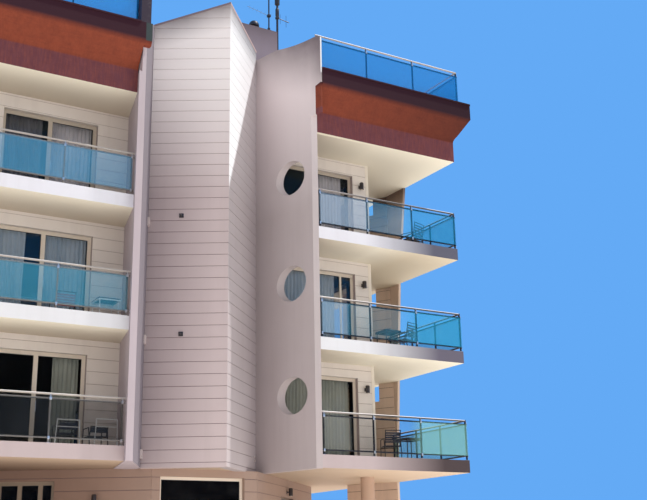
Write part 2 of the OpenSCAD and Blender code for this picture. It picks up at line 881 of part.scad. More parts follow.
// One run of railing along x: posts between the distances a and b, rails from 0 to len
module rail_bars(len, h, gap, a, b, last_post) {
    n = ceil((b - a) / panel_w);
    pitch = (b - a - bar_w) / n;
    low_top = h - handrail_d - gap;
    for (i = [0:last_post ? n : n - 1])
        block([a + i * pitch, -bar_w / 2, 0], [a + i * pitch + bar_w, bar_w / 2, h - handrail_d / 2]);
    block([0, -bar_w / 2, foot_gap], [len, bar_w / 2, foot_gap + bar_w]);
    block([0, -bar_w / 2, low_top - bar_w], [len, bar_w / 2, low_top]);
    translate([0, 0, h - handrail_d / 2])
        rotate([0, 90, 0])
            cylinder(h = len, d = handrail_d);
}

// Its panes, fixed to the outer faces of the posts and rails, the outside being on the right of the run
module rail_panes(h, gap, a, b, past) {
    n = ceil((b - a) / panel_w);
    pitch = (b - a - bar_w) / n;
    y = -bar_w / 2 - rail_glass_t;
    for (i = [0:n - 1]) {
        x0 = i == 0 ? a : a + i * pitch + (bar_w + pane_gap) / 2;
        x1 = i == n - 1 ? b + past : a + (i + 1) * pitch + (bar_w - pane_gap) / 2;
        block([x0, y, foot_gap + bar_w / 2], [x1, -bar_w / 2, h - handrail_d - gap - bar_w / 2]);
    }
}

// A run from p along direction angle, with its bars or its panes, which reach past the last post by past
module rail_run(part, p, angle, len, h, gap, a, b, last_post = true, past = 0) {
    translate(p)
        rotate([0, 0, angle])
            if (part == "bars")
                rail_bars(len, h, gap, a, b, last_post);
            else
                rail_panes(h, gap, a, b, past);
}

// Balcony rails of storey n: left, right front, right side before and behind the screen, and rear end
module balcony_rail_runs(part, n) {
    z = level(n);
    corner_x = right_x - rail_inset;
    rear_y = building_d - rail_inset;
    left_len = left_fin_at(rail_inset - handrail_d / 2)[0] - wall_t;
    right_start = fin_right_at(rail_inset - handrail_d / 2)[0];
    front_len = corner_x - bar_w / 2 - right_start;
    // The side rail meets the slanting part of the screen between in_y and out_y
    in_y = screen_turn_y + rail_inset / tan(screen_a);
    out_y = in_y + screen_t / sin(screen_a);
    mid_y = (in_y + out_y) / 2;
    near_y = rail_inset - bar_w / 2;
    far_len = rear_y + bar_w / 2 - mid_y;
    end_len = corner_x - bar_w / 2 - side_x;
    rail_run(part, [wall_t, rail_inset, z], 0, left_len, rail_h, rail_gap, post_gap, left_len - post_gap);
    rail_run(part, [right_start, rail_inset, z], 0, front_len, rail_h, rail_gap, post_gap, front_len + bar_w,
        last_post = false, past = rail_glass_t);
    difference() {
        union() {
            rail_run(part, [corner_x, near_y, z], 90, mid_y - near_y, rail_h, rail_gap, 0,
                in_y - near_y - post_gap);
            rail_run(part, [corner_x, mid_y, z], 90, far_len, rail_h, rail_gap, out_y - mid_y + post_gap,
                far_len, past = rail_glass_t);
        }
        end_screen_solid();
    }
    rail_run(part, [corner_x - bar_w / 2, rear_y, z], 180, end_len, rail_h, rail_gap, -bar_w,
        end_len - post_gap);
}

module balcony_rails(n) {
    color("dimgray") placed()
        balcony_rail_runs("bars", n);
}

module balcony_glass(n) {
    color("lightskyblue", 0.5) placed()
        balcony_rail_runs("glass", n);
}

module balcony_rails_1() { balcony_rails(1); }
module balcony_rails_2() { balcony_rails(2); }
module balcony_rails_3() { balcony_rails(3); }
module balcony_glass_1() { balcony_glass(1); }
module balcony_glass_2() { balcony_glass(2); }
module balcony_glass_3() { balcony_glass(3); }

// Roof rails: left, right front, right side, rear and left end
module roof_rail_runs(part) {
    h = roof_rail_h;
    gap = roof_rail_gap;
    front_y = roof_rail_inset - fascia_out;
    corner_x = fascia_x - front_y;
    rear_y = building_d - front_y;
    post_face = left_w + roof_post_x - roof_post_w / 2;
    left_len = post_face - wall_t;
    right_start = fin_head_at(front_y - handrail_d / 2)[0];
    front_len = corner_x - bar_w / 2 - right_start;
    side_len = rear_y - front_y + bar_w;
    rear_len = corner_x - bar_w / 2 - wall_t;
    end_y0 = fascia_t + wall_t;
    end_len = building_d - 2 * end_y0;
    rail_run(part, [wall_t, front_y, deck_z], 0, left_len, h, gap, 0, left_len);
    rail_run(part, [right_start, front_y, deck_z], 0, front_len, h, gap, post_gap, front_len + bar_w,
        last_post = false, past = rail_glass_t);
    rail_run(part, [corner_x, front_y - bar_w / 2, deck_z], 90, side_len, h, gap, 0, side_len,
        past = rail_glass_t);
    rail_run(part, [corner_x - bar_w / 2, rear_y, deck_z], 180, rear_len, h, gap, -bar_w, rear_len);
    rail_run(part, [wall_t / 2, building_d - end_y0, fascia_top], 270, end_len, h - deck_drop, gap, 0,
        end_len);
}

module roof_rails() {
    color("dimgray") placed()
        roof_rail_runs("bars");
}

module roof_rail_glass() {
    color("lightskyblue", 0.5) placed()
        roof_rail_runs("glass");
}

module roof_post() {
    color("maroon") placed()
        difference() {
            block([left_w + roof_post_x - roof_post_w / 2, -fascia_out, deck_z],
                [left_w + roof_post_x + roof_post_w / 2, roof_post_d - fascia_out, fascia_top + roof_post_h]);
            along_x(left_w - roof_post_w, left_w + roof_post_w)
                fascia_section();
            left_fin_solid();
        }
}

// The stronger mast stands on the deck beside the roof cabin, the slender one on the cabin's roof
module antenna_masts() {
    gap = 10;
    y = fin_back_y + mast_back;
    color("dimgray") placed() {
        translate([cabin_right + mast_d / 2 + gap, y, deck_z])
            cylinder(h = mast_top - deck_z, d = mast_d);
        translate([cabin_right - thin_mast_in, y, cabin_top])
            cylinder(h = thin_mast_top - cabin_top, d = thin_mast_d);
    }
}

ground_slab();
ground_front_walls();
ground_rear_walls();
porch_columns();
floor_1();
floor_2();
floor_3();
canopy_slab();
roof_deck();
front_wall_left();
front_wall_right();
side_wall();
rear_wall();
end_wall();
tower_left_wall();
tower_right_wall();
tower_roof();
left_fin();
porthole_fin();
end_screen();
fascia_left();
fascia_right();
fascia_rear();
roof_cabin();
door_frames_1();
door_frames_2();
door_frames_3();
door_glass_1();
door_glass_2();
door_glass_3();
window_frames();
window_glass();
balcony_rails_1();
balcony_rails_2();
balcony_rails_3();
balcony_glass_1();
balcony_glass_2();
balcony_glass_3();
roof_rails();
roof_rail_glass();
roof_post();
antenna_masts();
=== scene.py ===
import math

import bmesh
import bpy
from mathutils import Matrix, Vector


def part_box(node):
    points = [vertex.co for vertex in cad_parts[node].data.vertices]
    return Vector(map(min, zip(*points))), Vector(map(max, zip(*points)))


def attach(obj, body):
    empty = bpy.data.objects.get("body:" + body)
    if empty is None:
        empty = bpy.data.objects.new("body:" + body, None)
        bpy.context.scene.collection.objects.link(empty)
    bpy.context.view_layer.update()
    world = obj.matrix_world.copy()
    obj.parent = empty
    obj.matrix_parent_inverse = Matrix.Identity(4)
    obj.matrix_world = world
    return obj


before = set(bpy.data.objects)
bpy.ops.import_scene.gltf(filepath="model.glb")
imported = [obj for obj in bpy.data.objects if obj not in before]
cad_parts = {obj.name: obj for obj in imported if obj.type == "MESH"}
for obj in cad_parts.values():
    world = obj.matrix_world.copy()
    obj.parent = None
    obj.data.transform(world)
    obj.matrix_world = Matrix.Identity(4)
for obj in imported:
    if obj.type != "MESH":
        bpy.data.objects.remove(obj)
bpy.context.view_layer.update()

# Where the photograph was taken from, in the model's frame, and which way the camera looked
CAMERA_AT = (-8.60, -28.60, 1.08)
CAMERA_YAW, CAMERA_PITCH, CAMERA_ROLL = 31.12, 16.78, -1.06
CAMERA_LENS_MM, SENSOR_MM = 57.98, 36.0

# Places in plan are measured from the left end of the building and from the balcony fronts, in metres
ORIGIN = Vector((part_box("end_wall")[0].x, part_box("floor_1")[0].y, 0))
LOW, HIGH = 0, 1
X, Y, Z = 0, 1, 2


def edge(node, corner, axis):
    """Where a node's lowest or highest corner lies, as a place in plan or a height."""
    return (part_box(node)[corner] - ORIGIN)[axis]


WALL_T = edge("end_wall", HIGH, X)
DOOR_WALL_Y = edge("front_wall_left", LOW, Y)
SIDE_X = edge("front_wall_right", HIGH, X)
RIGHT_X = edge("floor_1", HIGH, X)
DEPTH = edge("floor_1", HIGH, Y)
CANOPY_Z = edge("canopy_slab", LOW, Z)
DECK_Z = edge("roof_deck", HIGH, Z)
ROOM_FRONT = edge("front_wall_left", HIGH, Y)
ROOM_BACK = edge("rear_wall", LOW, Y)
ROOM_RIGHT = edge("side_wall", LOW, X)
FASCIA_X = edge("fascia_right", HIGH, X)
FASCIA_Y = edge("fascia_left", LOW, Y)
FASCIA_TOP = edge("fascia_right", HIGH, Z)
CABIN_RIGHT = edge("roof_cabin", HIGH, X)
CABIN_FRONT = edge("roof_cabin", LOW, Y)
CABIN_TOP = edge("roof_cabin", HIGH, Z)
STOREYS = (1, 2, 3)
LEVEL = {n: edge(f"floor_{n}", HIGH, Z) for n in STOREYS}
CEILING = {n - 1: edge(f"floor_{n}", LOW, Z) for n in STOREYS} | {3: CANOPY_Z}

BAY_W = 3.56
LEFT_W = 3 * BAY_W
FIN_X, FIN_T, FIN_HEAD_T = 5.18, 0.19, 0.045
FIN_SLANT = math.tan(math.radians(15))
LEFT_FIN_SLANT = math.tan(math.radians(13))
FIN_TOP, FIN_RISE = 15.67, 0.16
TOWER_LEFT = (LEFT_W + 0.97, 1.46)
RIDGE = (LEFT_W + 2.81, 0.39)
TOWER_RIGHT_Y = 2.246
TOWER_TOPS = (15.70, 16.39, 16.14)
FOOT_DROP = 0.016

DOOR_W, DOOR_H = 2.48, 2.38
WINDOW_W, WINDOW_H, SILL_H = 1.60, 1.30, 0.95
REVEAL, FRAME_W, FRAME_D, PANE_T = 0.12, 0.075, 0.07, 0.024
GROUND_FLOOR = 0.15
RAIL_H, ROOF_RAIL_H, HANDRAIL_D = 1.13, 1.33, 0.05


def fin_left(y):
    return LEFT_W + FIN_X - FIN_SLANT * y


def at(x, y, z):
    return ORIGIN + Vector((x, y, z))


def stand(x, y, z):
    """A frame there, square to the building."""
    return Matrix.Translation(at(x, y, z))


class Wall:
    """The face of an upright wall, from start to end in plan, with the outside on its right."""

    def __init__(self, start, end):
        self.start = Vector(start)
        run = Vector(end) - self.start
        self.length = run.length
        self.along = run.normalized()
        self.out = Vector((self.along.y, -self.along.x))

    def at(self, s, z, out=0.0):
        """The point s along the wall, at height z, standing out from the face."""
        return at(*(self.start + self.along * s + self.out * out), z)

    def place(self, s, z):
        """A frame there: x along the wall, y into it and z up."""
        p = self.at(s, z)
        return Matrix(((self.along.x, -self.out.x, 0, p.x), (self.along.y, -self.out.y, 0, p.y),
                       (0, 0, 1, p.z), (0, 0, 0, 1)))

    def reach(self, point):
        """How far along the wall a place in plan lies."""
        return (Vector(point) - self.start).dot(self.along)


def meet(wall, other):
    """Where the lines of two walls meet in plan."""
    gap = other.start - wall.start
    turn = wall.along.cross(other.along)
    return wall.start + wall.along * (gap.cross(other.along) / turn)


def moved(wall, out):
    """The same wall standing further out by that much."""
    start = wall.start + wall.out * out
    return Wall(start, start + wall.along * wall.length)


tower_left = Wall(TOWER_LEFT, RIDGE)
tower_right = Wall(RIDGE, (fin_left(TOWER_RIGHT_Y), TOWER_RIGHT_Y))
front_left = Wall((WALL_T, DOOR_WALL_Y), (LEFT_W + 0.37, DOOR_WALL_Y))
front_right = Wall((fin_left(DOOR_WALL_Y) + FIN_T, DOOR_WALL_Y), (SIDE_X, DOOR_WALL_Y))
side = Wall((SIDE_X, DOOR_WALL_Y), (SIDE_X, DEPTH))
rear = Wall((SIDE_X, DEPTH), (WALL_T, DEPTH))
fin_side = Wall((LEFT_W + 0.153, -0.168), TOWER_LEFT)

# The ground floor stands back below the tower, splays on both sides and runs straight at the left
SHOP_SETBACK, SHOP_Y, LEFT_SHOP_Y = 0.25, 1.55, 4.2
GROUND_SIDE_X = edge("ground_rear_walls", HIGH, X)
shop_line = Wall((0, SHOP_Y), (1, SHOP_Y))
shop_left = meet(moved(tower_left, -SHOP_SETBACK), shop_line)
shop_right = meet(moved(tower_right, SHOP_SETBACK), shop_line)
splay_end = meet(moved(tower_left, -SHOP_SETBACK), Wall((0, LEFT_SHOP_Y), (1, LEFT_SHOP_Y)))
porch_end = meet(moved(tower_right, SHOP_SETBACK), Wall((GROUND_SIDE_X, 0), (GROUND_SIDE_X, 1)))
ground_corners = ((WALL_T, LEFT_SHOP_Y), splay_end, shop_left, shop_right, porch_end,
                  (GROUND_SIDE_X, DEPTH), (WALL_T, DEPTH))
ground_walls = [Wall(start, end) for start, end in zip(ground_corners, ground_corners[1:])]
ground_splay, ground_shop, ground_porch = ground_walls[1:4]
ground_rear = ground_walls[-1]

# Middles of the door and window openings along their walls
left_doors = [front_left.reach((LEFT_W - 1.71 - i * BAY_W, DOOR_WALL_Y)) for i in range(3)]
right_doors = [front_right.length - 0.55 - DOOR_W / 2]
side_doors = [side.length * (2 * i + 1) / 4 for i in range(2)]
rear_count = int((SIDE_X - 2 * WALL_T) // BAY_W)
rear_middles = [(SIDE_X / 2 + (i - (rear_count - 1) / 2) * BAY_W, DEPTH) for i in range(rear_count)]
rear_windows = [rear.reach(p) for p in rear_middles]
ground_rear_windows = [ground_rear.reach(p) for p in rear_middles]
DOOR_WALLS = ((front_left, left_doors), (front_right, right_doors), (side, side_doors))

# Glazed openings at the front of the ground floor: wall, middle, width, height and stiles from the middle
SPLAY_W, LEAF_W, END_LEAF_W = 2.50, 0.515, 0.365
splay_stiles = [SPLAY_W / 2 - END_LEAF_W - i * LEAF_W for i in (3, 2, 1, 0)]
GROUND_OPENINGS = (
    (ground_shop, 0.23 + 2.35 / 2, 2.35, 3.27 - GROUND_FLOOR, []),
    (ground_splay, ground_splay.length - 2.41 - SPLAY_W / 2, SPLAY_W, 3.18 - GROUND_FLOOR, splay_stiles),
    (ground_porch, 2.41 + 1.42 / 2, 1.42, 2.80, [0.0]))

# The screen at the right end: a straight stretch, then one that turns inwards
SCREEN_TURN_Y, SCREEN_BACK_Y, SCREEN_T = 3.6, 5.1, 0.08
SCREEN_ANGLE = math.radians(30)
SCREEN_SLANT = math.tan(SCREEN_ANGLE)
screen_inner = Wall((RIGHT_X - SCREEN_SLANT * (SCREEN_BACK_Y - SCREEN_TURN_Y), SCREEN_BACK_Y),
                    (RIGHT_X, SCREEN_TURN_Y))
SLOT_Y, SLOT_W, SLOT_H = 4.04, 0.86, 0.56


# Making shapes

def block(bm, place, low, high, chamfer=0.0):
    """A closed box between two corners in the frame of place, with its edges cut off by chamfer."""
    v = [bm.verts.new(place @ Vector((x, y, z))) for x in (low[X], high[X]) for y in (low[Y], high[Y])
         for z in (low[Z], high[Z])]
    sides = ((0, 1, 3, 2), (4, 6, 7, 5), (0, 4, 5, 1), (2, 3, 7, 6), (0, 2, 6, 4), (1, 5, 7, 3))
    faces = [bm.faces.new([v[i] for i in quad]) for quad in sides]
    if chamfer:
        edges = {e for f in faces for e in f.edges}
        bmesh.ops.bevel(bm, geom=list(edges), offset=chamfer, segments=2, profile=0.6, affect="EDGES")


def skin(bm, loop, after):
    """Faces between one closed loop of vertices and the next."""
    for i in range(len(loop)):
        j = (i + 1) % len(loop)
        bm.faces.new((loop[i], loop[j], after[j], after[i]))


def stack(bm, loops):
    """A closed solid with its skin over loops of vertices, and a cap at each end."""
    bm.faces.new(list(reversed(loops[0])))
    for loop, after in zip(loops, loops[1:]):
        skin(bm, loop, after)
    bm.faces.new(loops[-1])


def extrude(bm, points, move):
    """A closed solid from a flat outline, carried along move."""
    stack(bm, [[bm.verts.new(p) for p in points], [bm.verts.new(p + move) for p in points]])


def turned(bm, place, profile, sides=24):
    """A closed turned shape: profile is a list of (radius, height) from its foot to its top."""
    angles = [2 * math.pi * k / sides for k in range(sides)]
    stack(bm, [[bm.verts.new(place @ Vector((radius * math.cos(a), radius * math.sin(a), height)))
                for a in angles] for radius, height in profile])


def tube(bm, place, points, radius, sides=8):
    """A closed round bar along a line of points in the frame of place, with mitred bends."""
    points = [place @ Vector(p) for p in points]
    ways = [(q - p).normalized() for p, q in zip(points, points[1:])]
    side_way = None
    loops = []
    for p, way_in, way_out in zip(points, ways[:1] + ways, ways + ways[-1:]):
        way = (way_in + way_out).normalized()
        if side_way is None:
            side_way = way.orthogonal().normalized()
        side_way = (side_way - way * side_way.dot(way)).normalized()
        up = way.cross(side_way)
        stretch = 1 / max(0.4, way.dot(way_in))
        bend = way_in.cross(way_out)
        loops.append([])
        for k in range(sides):
            turn = 2 * math.pi * k / sides
            off = (side_way * math.cos(turn) + up * math.sin(turn)) * radius
            if bend.length > 1e-6:
                wide = bend.normalized().cross(way).normalized()
                off += wide * off.dot(wide) * (stretch - 1)
            loops[-1].append(bm.verts.new(p + off))
    stack(bm, loops)


def ring(bm, place, outer, face_w, y0, y1, chamfer=0.0):
    """A rectangular frame: outer is its left, right, foot and head, and y0 to y1 its depth."""
    x0, x1, z0, z1 = outer
    outlines = [((x0 + w, z0 + w), (x1 - w, z0 + w), (x1 - w, z1 - w), (x0 + w, z1 - w))
                for w in (0.0, face_w)]
    (front_out, front_in), (back_out, back_in) = (
        [[bm.verts.new(place @ Vector((x, y, z))) for x, z in line] for line in outlines] for y in (y0, y1))
    skin(bm, front_out, front_in)
    skin(bm, back_in, back_out)
    skin(bm, back_out, front_out)
    skin(bm, front_in, back_in)
    if chamfer:
        rims = [bm.edges.get((loop[i - 1], loop[i])) for loop in (front_out, front_in) for i in range(4)]
        bmesh.ops.bevel(bm, geom=rims, offset=chamfer, segments=2, profile=0.6, affect="EDGES")


def add_object(name, data):
    made = bpy.data.objects.new(name, data)
    bpy.context.scene.collection.objects.link(made)
    return made


def piece(name, bm, material, smooth=None):
    """Turns a finished mesh into a piece that rides on the building."""
    bmesh.ops.recalc_face_normals(bm, faces=bm.faces)
    mesh = bpy.data.meshes.new(name)
    bm.to_mesh(mesh)
    bm.free()
    mesh.materials.append(material)
    if smooth is not None:
        mesh.polygons.foreach_set("use_smooth", [True] * len(mesh.polygons))
        mesh.set_sharp_from_angle(angle=math.radians(smooth))
    made = add_object(name, mesh)
    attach(made, "root")
    return made


# Boarded render

BOARD_H = 0.3164
BOARD_Z = 3.557 - 12 * BOARD_H
BOARD_T = 0.012
GROOVE_W = 0.012
BOARD_EDGE = 0.004
SUNK = 0.002
LEAST_BOARD = 0.02


def board_rows(z0, z1):
    """Foot and head of each board between two heights, on the grooves that run round the building."""
    k = math.floor((z0 - BOARD_Z) / BOARD_H)
    while BOARD_Z + k * BOARD_H < z1:
        low = max(z0, BOARD_Z + k * BOARD_H + GROOVE_W / 2)
        high = min(z1, BOARD_Z + (k + 1) * BOARD_H - GROOVE_W / 2)
        if high - low > LEAST_BOARD:
            yield low, high
        k += 1


def below(outline, top):
    """What is left of a flat outline of (s, z) points below the sloping line top(s)."""
    kept = []
    for i, p in enumerate(outline):
        q = outline[(i + 1) % len(outline)]
        over_p = p[1] - top(p[0])
        over_q = q[1] - top(q[0])
        if over_p <= 0:
            kept.append(p)
        if over_p * over_q < 0:
            t = over_p / (over_p - over_q)
            kept.append((p[0] + (q[0] - p[0]) * t, p[1] + (q[1] - p[1]) * t))
    return kept


def board_cells(s0, s1, low, high, holes, top):
    """One board as flat cells round the openings that it meets."""
    met = [h for h in holes if h[0] < s1 and h[1] > s0 and h[2] < high and h[3] > low]
    s_lines = sorted({s0, s1} | {s for h in met for s in h[:2] if s0 < s < s1})
    z_lines = sorted({low, high} | {z for h in met for z in h[2:] if low < z < high})
    for a, b in zip(s_lines, s_lines[1:]):
        for c, d in zip(z_lines, z_lines[1:]):
            s, z = (a + b) / 2, (c + d) / 2
            if any(h[0] < s < h[1] and h[2] < z < h[3] for h in met):
                continue
            cell = [(a, c), (b, c), (b, d), (a, d)]
            cell = below(cell, top) if top else cell
            if len(cell) > 2:
                yield cell


def boards(bm, wall, z0, z1, holes=(), s0=0.0, s1=None, top=None, mitres=(0.0, 0.0)):
    """Boards on a wall, as closed solids with eased front edges that reach a little into the wall."""
    s1 = wall.length if s1 is None else s1
    eased = []
    for low, high in board_rows(z0, z1):
        verts = {}

        def corner(s, z, out):
            key = (round(s, 5), round(z, 5), out)
            if key not in verts:
                if out > 0:
                    s += (s == s1) * mitres[1] - (s == s0) * mitres[0]
                verts[key] = bm.verts.new(wall.at(s, z, out))
            return verts[key]

        edges = {}
        for cell in board_cells(s0, s1, low, high, holes, top):
            bm.faces.new([corner(s, z, BOARD_T) for s, z in cell])
            bm.faces.new([corner(s, z, -SUNK) for s, z in reversed(cell)])
            for p, q in zip(cell, cell[1:] + cell[:1]):
                key = frozenset((tuple(round(c, 5) for c in p), tuple(round(c, 5) for c in q)))
                edges.setdefault(key, []).append((p, q))
        for pairs in edges.values():
            if len(pairs) == 1:
                p, q = pairs[0]
                face = bm.faces.new((corner(*q, BOARD_T), corner(*p, BOARD_T), corner(*p, -SUNK),
                                     corner(*q, -SUNK)))
                eased.append(face.edges[0])
    bmesh.ops.bevel(bm, geom=eased, offset=BOARD_EDGE, segments=1, affect="EDGES")


def openings_in(middles, w, foot, h):
    return [(s - w / 2, s + w / 2, foot, foot + h) for s in middles]


# Materials, all procedural. Colours are written as 0 to 255

WALL_COLOUR = (236, 226, 218)
GROUND_COLOUR = (172, 145, 130)
SCREEN_COLOUR = (228, 202, 182)
# The tower's faces are copies of one paint: the right face's is darker, as painted shade
TOWER_LEFT_COLOUR = (210, 192, 192)
TOWER_RIGHT_COLOUR = (198, 186, 187)
SOFFIT = (255, 246, 226)
ROOM_SHADE = (58, 52, 48)
# Groove colours, here and on the fin and the screen, are painted shade in the recesses between the boards
GROOVE, TOWER_GROOVE, GLOWING_GROOVE = (176, 160, 152), (118, 98, 100), (184, 166, 166)
# Painted light: a glow painted high on the tower and the fins, and sunlight painted on the tower's right face
PAINTED_GLOW, PAINTED_SUNLIGHT = (255, 246, 246), (248, 247, 249)
TOWER_SOIL, SOIL_FALL = (92, 76, 82), 1.2
DUST = (205, 210, 214)
SEEN_SKY = (100, 170, 245)
STEP = 0.004
CLEAR_ROUGHNESS = 0.04

# Heights between which the tower and the fins get a painted glow, and those at which the sun stops
# reaching the tower's right face, at its left and right end: above that line the face gets painted sunlight
GLOW_FROM, GLOW_TO = 10.6, 14.2
SUN_LINE = (10.85, 15.9)

# Rail glass of each storey: tint, alpha and shine at the left, alpha before the right walls, where its
# first stretch at the right ends with its tint and alpha, and tint and alpha at the right end. The tints
# are the glass's own with painted reflection of the sky, and near black on the first storey as painted shade
RAIL_GLASS = {
    1: ((26, 30, 34), 0.26, 0.1, 0.06, 16.9, (176, 178, 172), 0.12, (146, 208, 198), 0.30),
    2: ((80, 184, 220), 0.20, 1.0, 0.08, 16.9, (160, 196, 224), 0.28, (40, 176, 222), 0.28),
    3: ((90, 180, 228), 0.25, 1.0, 0.15, 17.6, (178, 204, 230), 0.30, (20, 156, 212), 0.26)}
RIGHT_GLASS_X = 16.0
END_GLASS = (18.8, 19.3)

# Door glass of each storey: tint, alpha and shine. The tints are painted reflection on the upper storeys,
# and near black on the first as painted shade of the room behind
DOOR_GLASS = {1: ((14, 12, 12), 0.20, 0.05), 2: ((20, 70, 110), 0.18, 0.8), 3: ((30, 50, 60), 0.14, 0.5)}


def srgb(colour):
    """A colour written as 0 to 255, as the linear colour that the shader takes."""
    parts = [c / 255 for c in colour]
    return (*(c / 12.92 if c <= 0.04045 else ((c + 0.055) / 1.055) ** 2.4 for c in parts), 1.0)


def plug(tree, socket, value):
    """Links a node's output to a socket, or sets the socket to a plain value."""
    if isinstance(value, bpy.types.NodeSocket):
        tree.links.new(value, socket)
    else:
        socket.default_value = value


def add_node(tree, kind, values, **settings):
    made = tree.nodes.new(kind)
    for key, value in settings.items():
        setattr(made, key, value)
    for key, value in values.items():
        plug(tree, made.inputs[key], value)
    return made


class Finish:
    """A material being built: its nodes are added one by one, and its colour is layered."""

    def __init__(self, name, colour, roughness=0.8, metallic=0.0, specular=0.5):
        self.material = bpy.data.materials.new(name)
        self.material.use_nodes = True
        self.tree = self.material.node_tree
        self.shader = self.tree.nodes["Principled BSDF"]
        self.set("Roughness", roughness)
        self.set("Metallic", metallic)
        self.set("Specular IOR Level", specular)
        coordinates = self.tree.nodes.new("ShaderNodeTexCoord")
        self.where = coordinates.outputs["Object"]
        self.normal = coordinates.outputs["Normal"]
        self.colour = srgb(colour)
        self.bumps = None

    def set(self, key, value):
        plug(self.tree, self.shader.inputs[key], value)

    def add(self, kind, values, **settings):
        return add_node(self.tree, kind, values, **settings)

    def noise(self, scale, detail=3.0, stretch=None, roughness=0.55):
        """Cloudy noise from 0 to 1; stretch gives how much finer it is along each axis."""
        where = self.where
        if stretch:
            where = self.add("ShaderNodeMapping", {"Vector": where, "Scale": stretch}).outputs[0]
        return self.add("ShaderNodeTexNoise", {"Vector": where, "Scale": scale, "Detail": detail,
                                               "Roughness": roughness}).outputs[0]

    def ramp(self, value, low, high, to_low=0.0, to_high=1.0):
        """value from low to high becomes to_low to to_high, and stays there outside."""
        return self.add("ShaderNodeMapRange", {"Value": value, "From Min": low, "From Max": high,
                                               "To Min": to_low, "To Max": to_high}).outputs[0]

    def calc(self, how, a, b):
        return self.add("ShaderNodeMath", {0: a, 1: b}, operation=how).outputs[0]

    def axis(self, axis):
        """The place along one axis, in the model's frame."""
        return self.add("ShaderNodeSeparateXYZ", {0: self.where}).outputs[axis]

    def along(self, axis, low, high, to_low=0.0, to_high=1.0):
        """A ramp between two places in plan, or two heights."""
        shift = ORIGIN[axis]
        return self.ramp(self.axis(axis), low + shift, high + shift, to_low, to_high)

    def span(self, axis, low, high, step=STEP):
        """1 between two places in plan, or two heights, and 0 outside."""
        return self.product(self.along(axis, low - step, low), self.along(axis, high, high + step, 1.0, 0.0))

    def facing(self, direction, low=0.8, high=0.9):
        """1 on faces that look along direction."""
        dot = self.add("ShaderNodeVectorMath", {0: self.normal, 1: Vector(direction).to_3d()},
                       operation="DOT_PRODUCT")
        return self.ramp(dot.outputs["Value"], low, high)

    def product(self, *values):
        """All the values multiplied together."""
        result = values[0]
        for value in values[1:]:
            result = self.calc("MULTIPLY", result, value)
        return result

    def layer(self, colour, *amounts):
        """Lays a colour over what is there, as far as all the amounts multiplied together say."""
        over = colour if isinstance(colour, bpy.types.NodeSocket) else srgb(colour)
        self.colour = self.add("ShaderNodeMix", {0: self.product(*amounts), 6: self.colour, 7: over},
                               data_type="RGBA").outputs[2]

    def patches(self, noise, low, high, most, colour):
        """Lays a colour over what is there, none where the noise is low and most where it is high."""
        self.layer(colour, self.ramp(noise, low, high, 0.0, most))

    def bump(self, height, strength, distance):
        values = {"Height": height, "Strength": strength, "Distance": distance}
        if self.bumps:
            values["Normal"] = self.bumps
        self.bumps = self.add("ShaderNodeBump", values).outputs[0]

    def done(self):
        self.set("Base Color", self.colour)
        if self.bumps:
            self.set("Normal", self.bumps)
        return self.material


def weather(finish, clouds=0.10, streaks=0.10, stain=(120, 100, 92)):
    """Faint clouds in the paint and thin upright rain streaks."""
    finish.patches(finish.noise(0.7, 4.0), 0.35, 0.75, clouds, stain)
    finish.patches(finish.noise(1.0, 4.0, (3.5, 3.5, 0.22)), 0.5, 0.8, streaks, stain)


def grain(finish, scale=90.0, strength=0.35):
    """The fine grain of render."""
    finish.bump(finish.noise(scale, 2.0), strength, 0.003)
    finish.bump(finish.noise(scale / 14, 2.0), strength / 2, 0.006)


def soil_below(finish, outline, depth, most):
    """A soft dark band that starts at a top edge and fades downwards; outline gives the edge's height."""
    fade = finish.ramp(finish.calc("SUBTRACT", outline, finish.axis(Z)), 0.0, depth, 1.0, 0.0)
    ragged = finish.ramp(finish.noise(1.4, 3.0), 0.2, 0.8, 0.75 * most, most)
    finish.layer(TOWER_SOIL, finish.calc("POWER", fade, SOIL_FALL), ragged)


def indoors(finish, amount=1.0):
    """Painted shade of the dim rooms: what lies inside the outer walls is painted dark."""
    finish.layer(ROOM_SHADE, finish.span(X, WALL_T - STEP, ROOM_RIGHT + STEP),
                 finish.span(Y, ROOM_FRONT - STEP, ROOM_BACK + STEP), amount)


def render_finish(name, colour, groove_faces=(), groove=GROOVE, glowing_groove=None, room=False, clouds=0.10,
                  streaks=0.10):
    """Plain render. Faces that carry boards show only in the grooves, and are painted dark there as
    painted shade, lighter high up as a painted glow. Room walls get painted shade on their left-facing
    faces and indoors.
    """
    finish = Finish(name, colour)
    weather(finish, clouds, streaks)
    for direction in groove_faces:
        facing = finish.facing(direction)
        finish.layer(groove, facing)
        if glowing_groove:
            # Painted glow: the grooves get lighter high up
            finish.layer(glowing_groove, facing, finish.along(Z, GLOW_FROM, GLOW_TO))
    if room:
        # Painted shade on left-facing faces, such as the reveals at the right of the openings
        finish.layer((178, 162, 160), finish.facing((-1, 0)))
        indoors(finish)
    grain(finish)
    return finish.done()


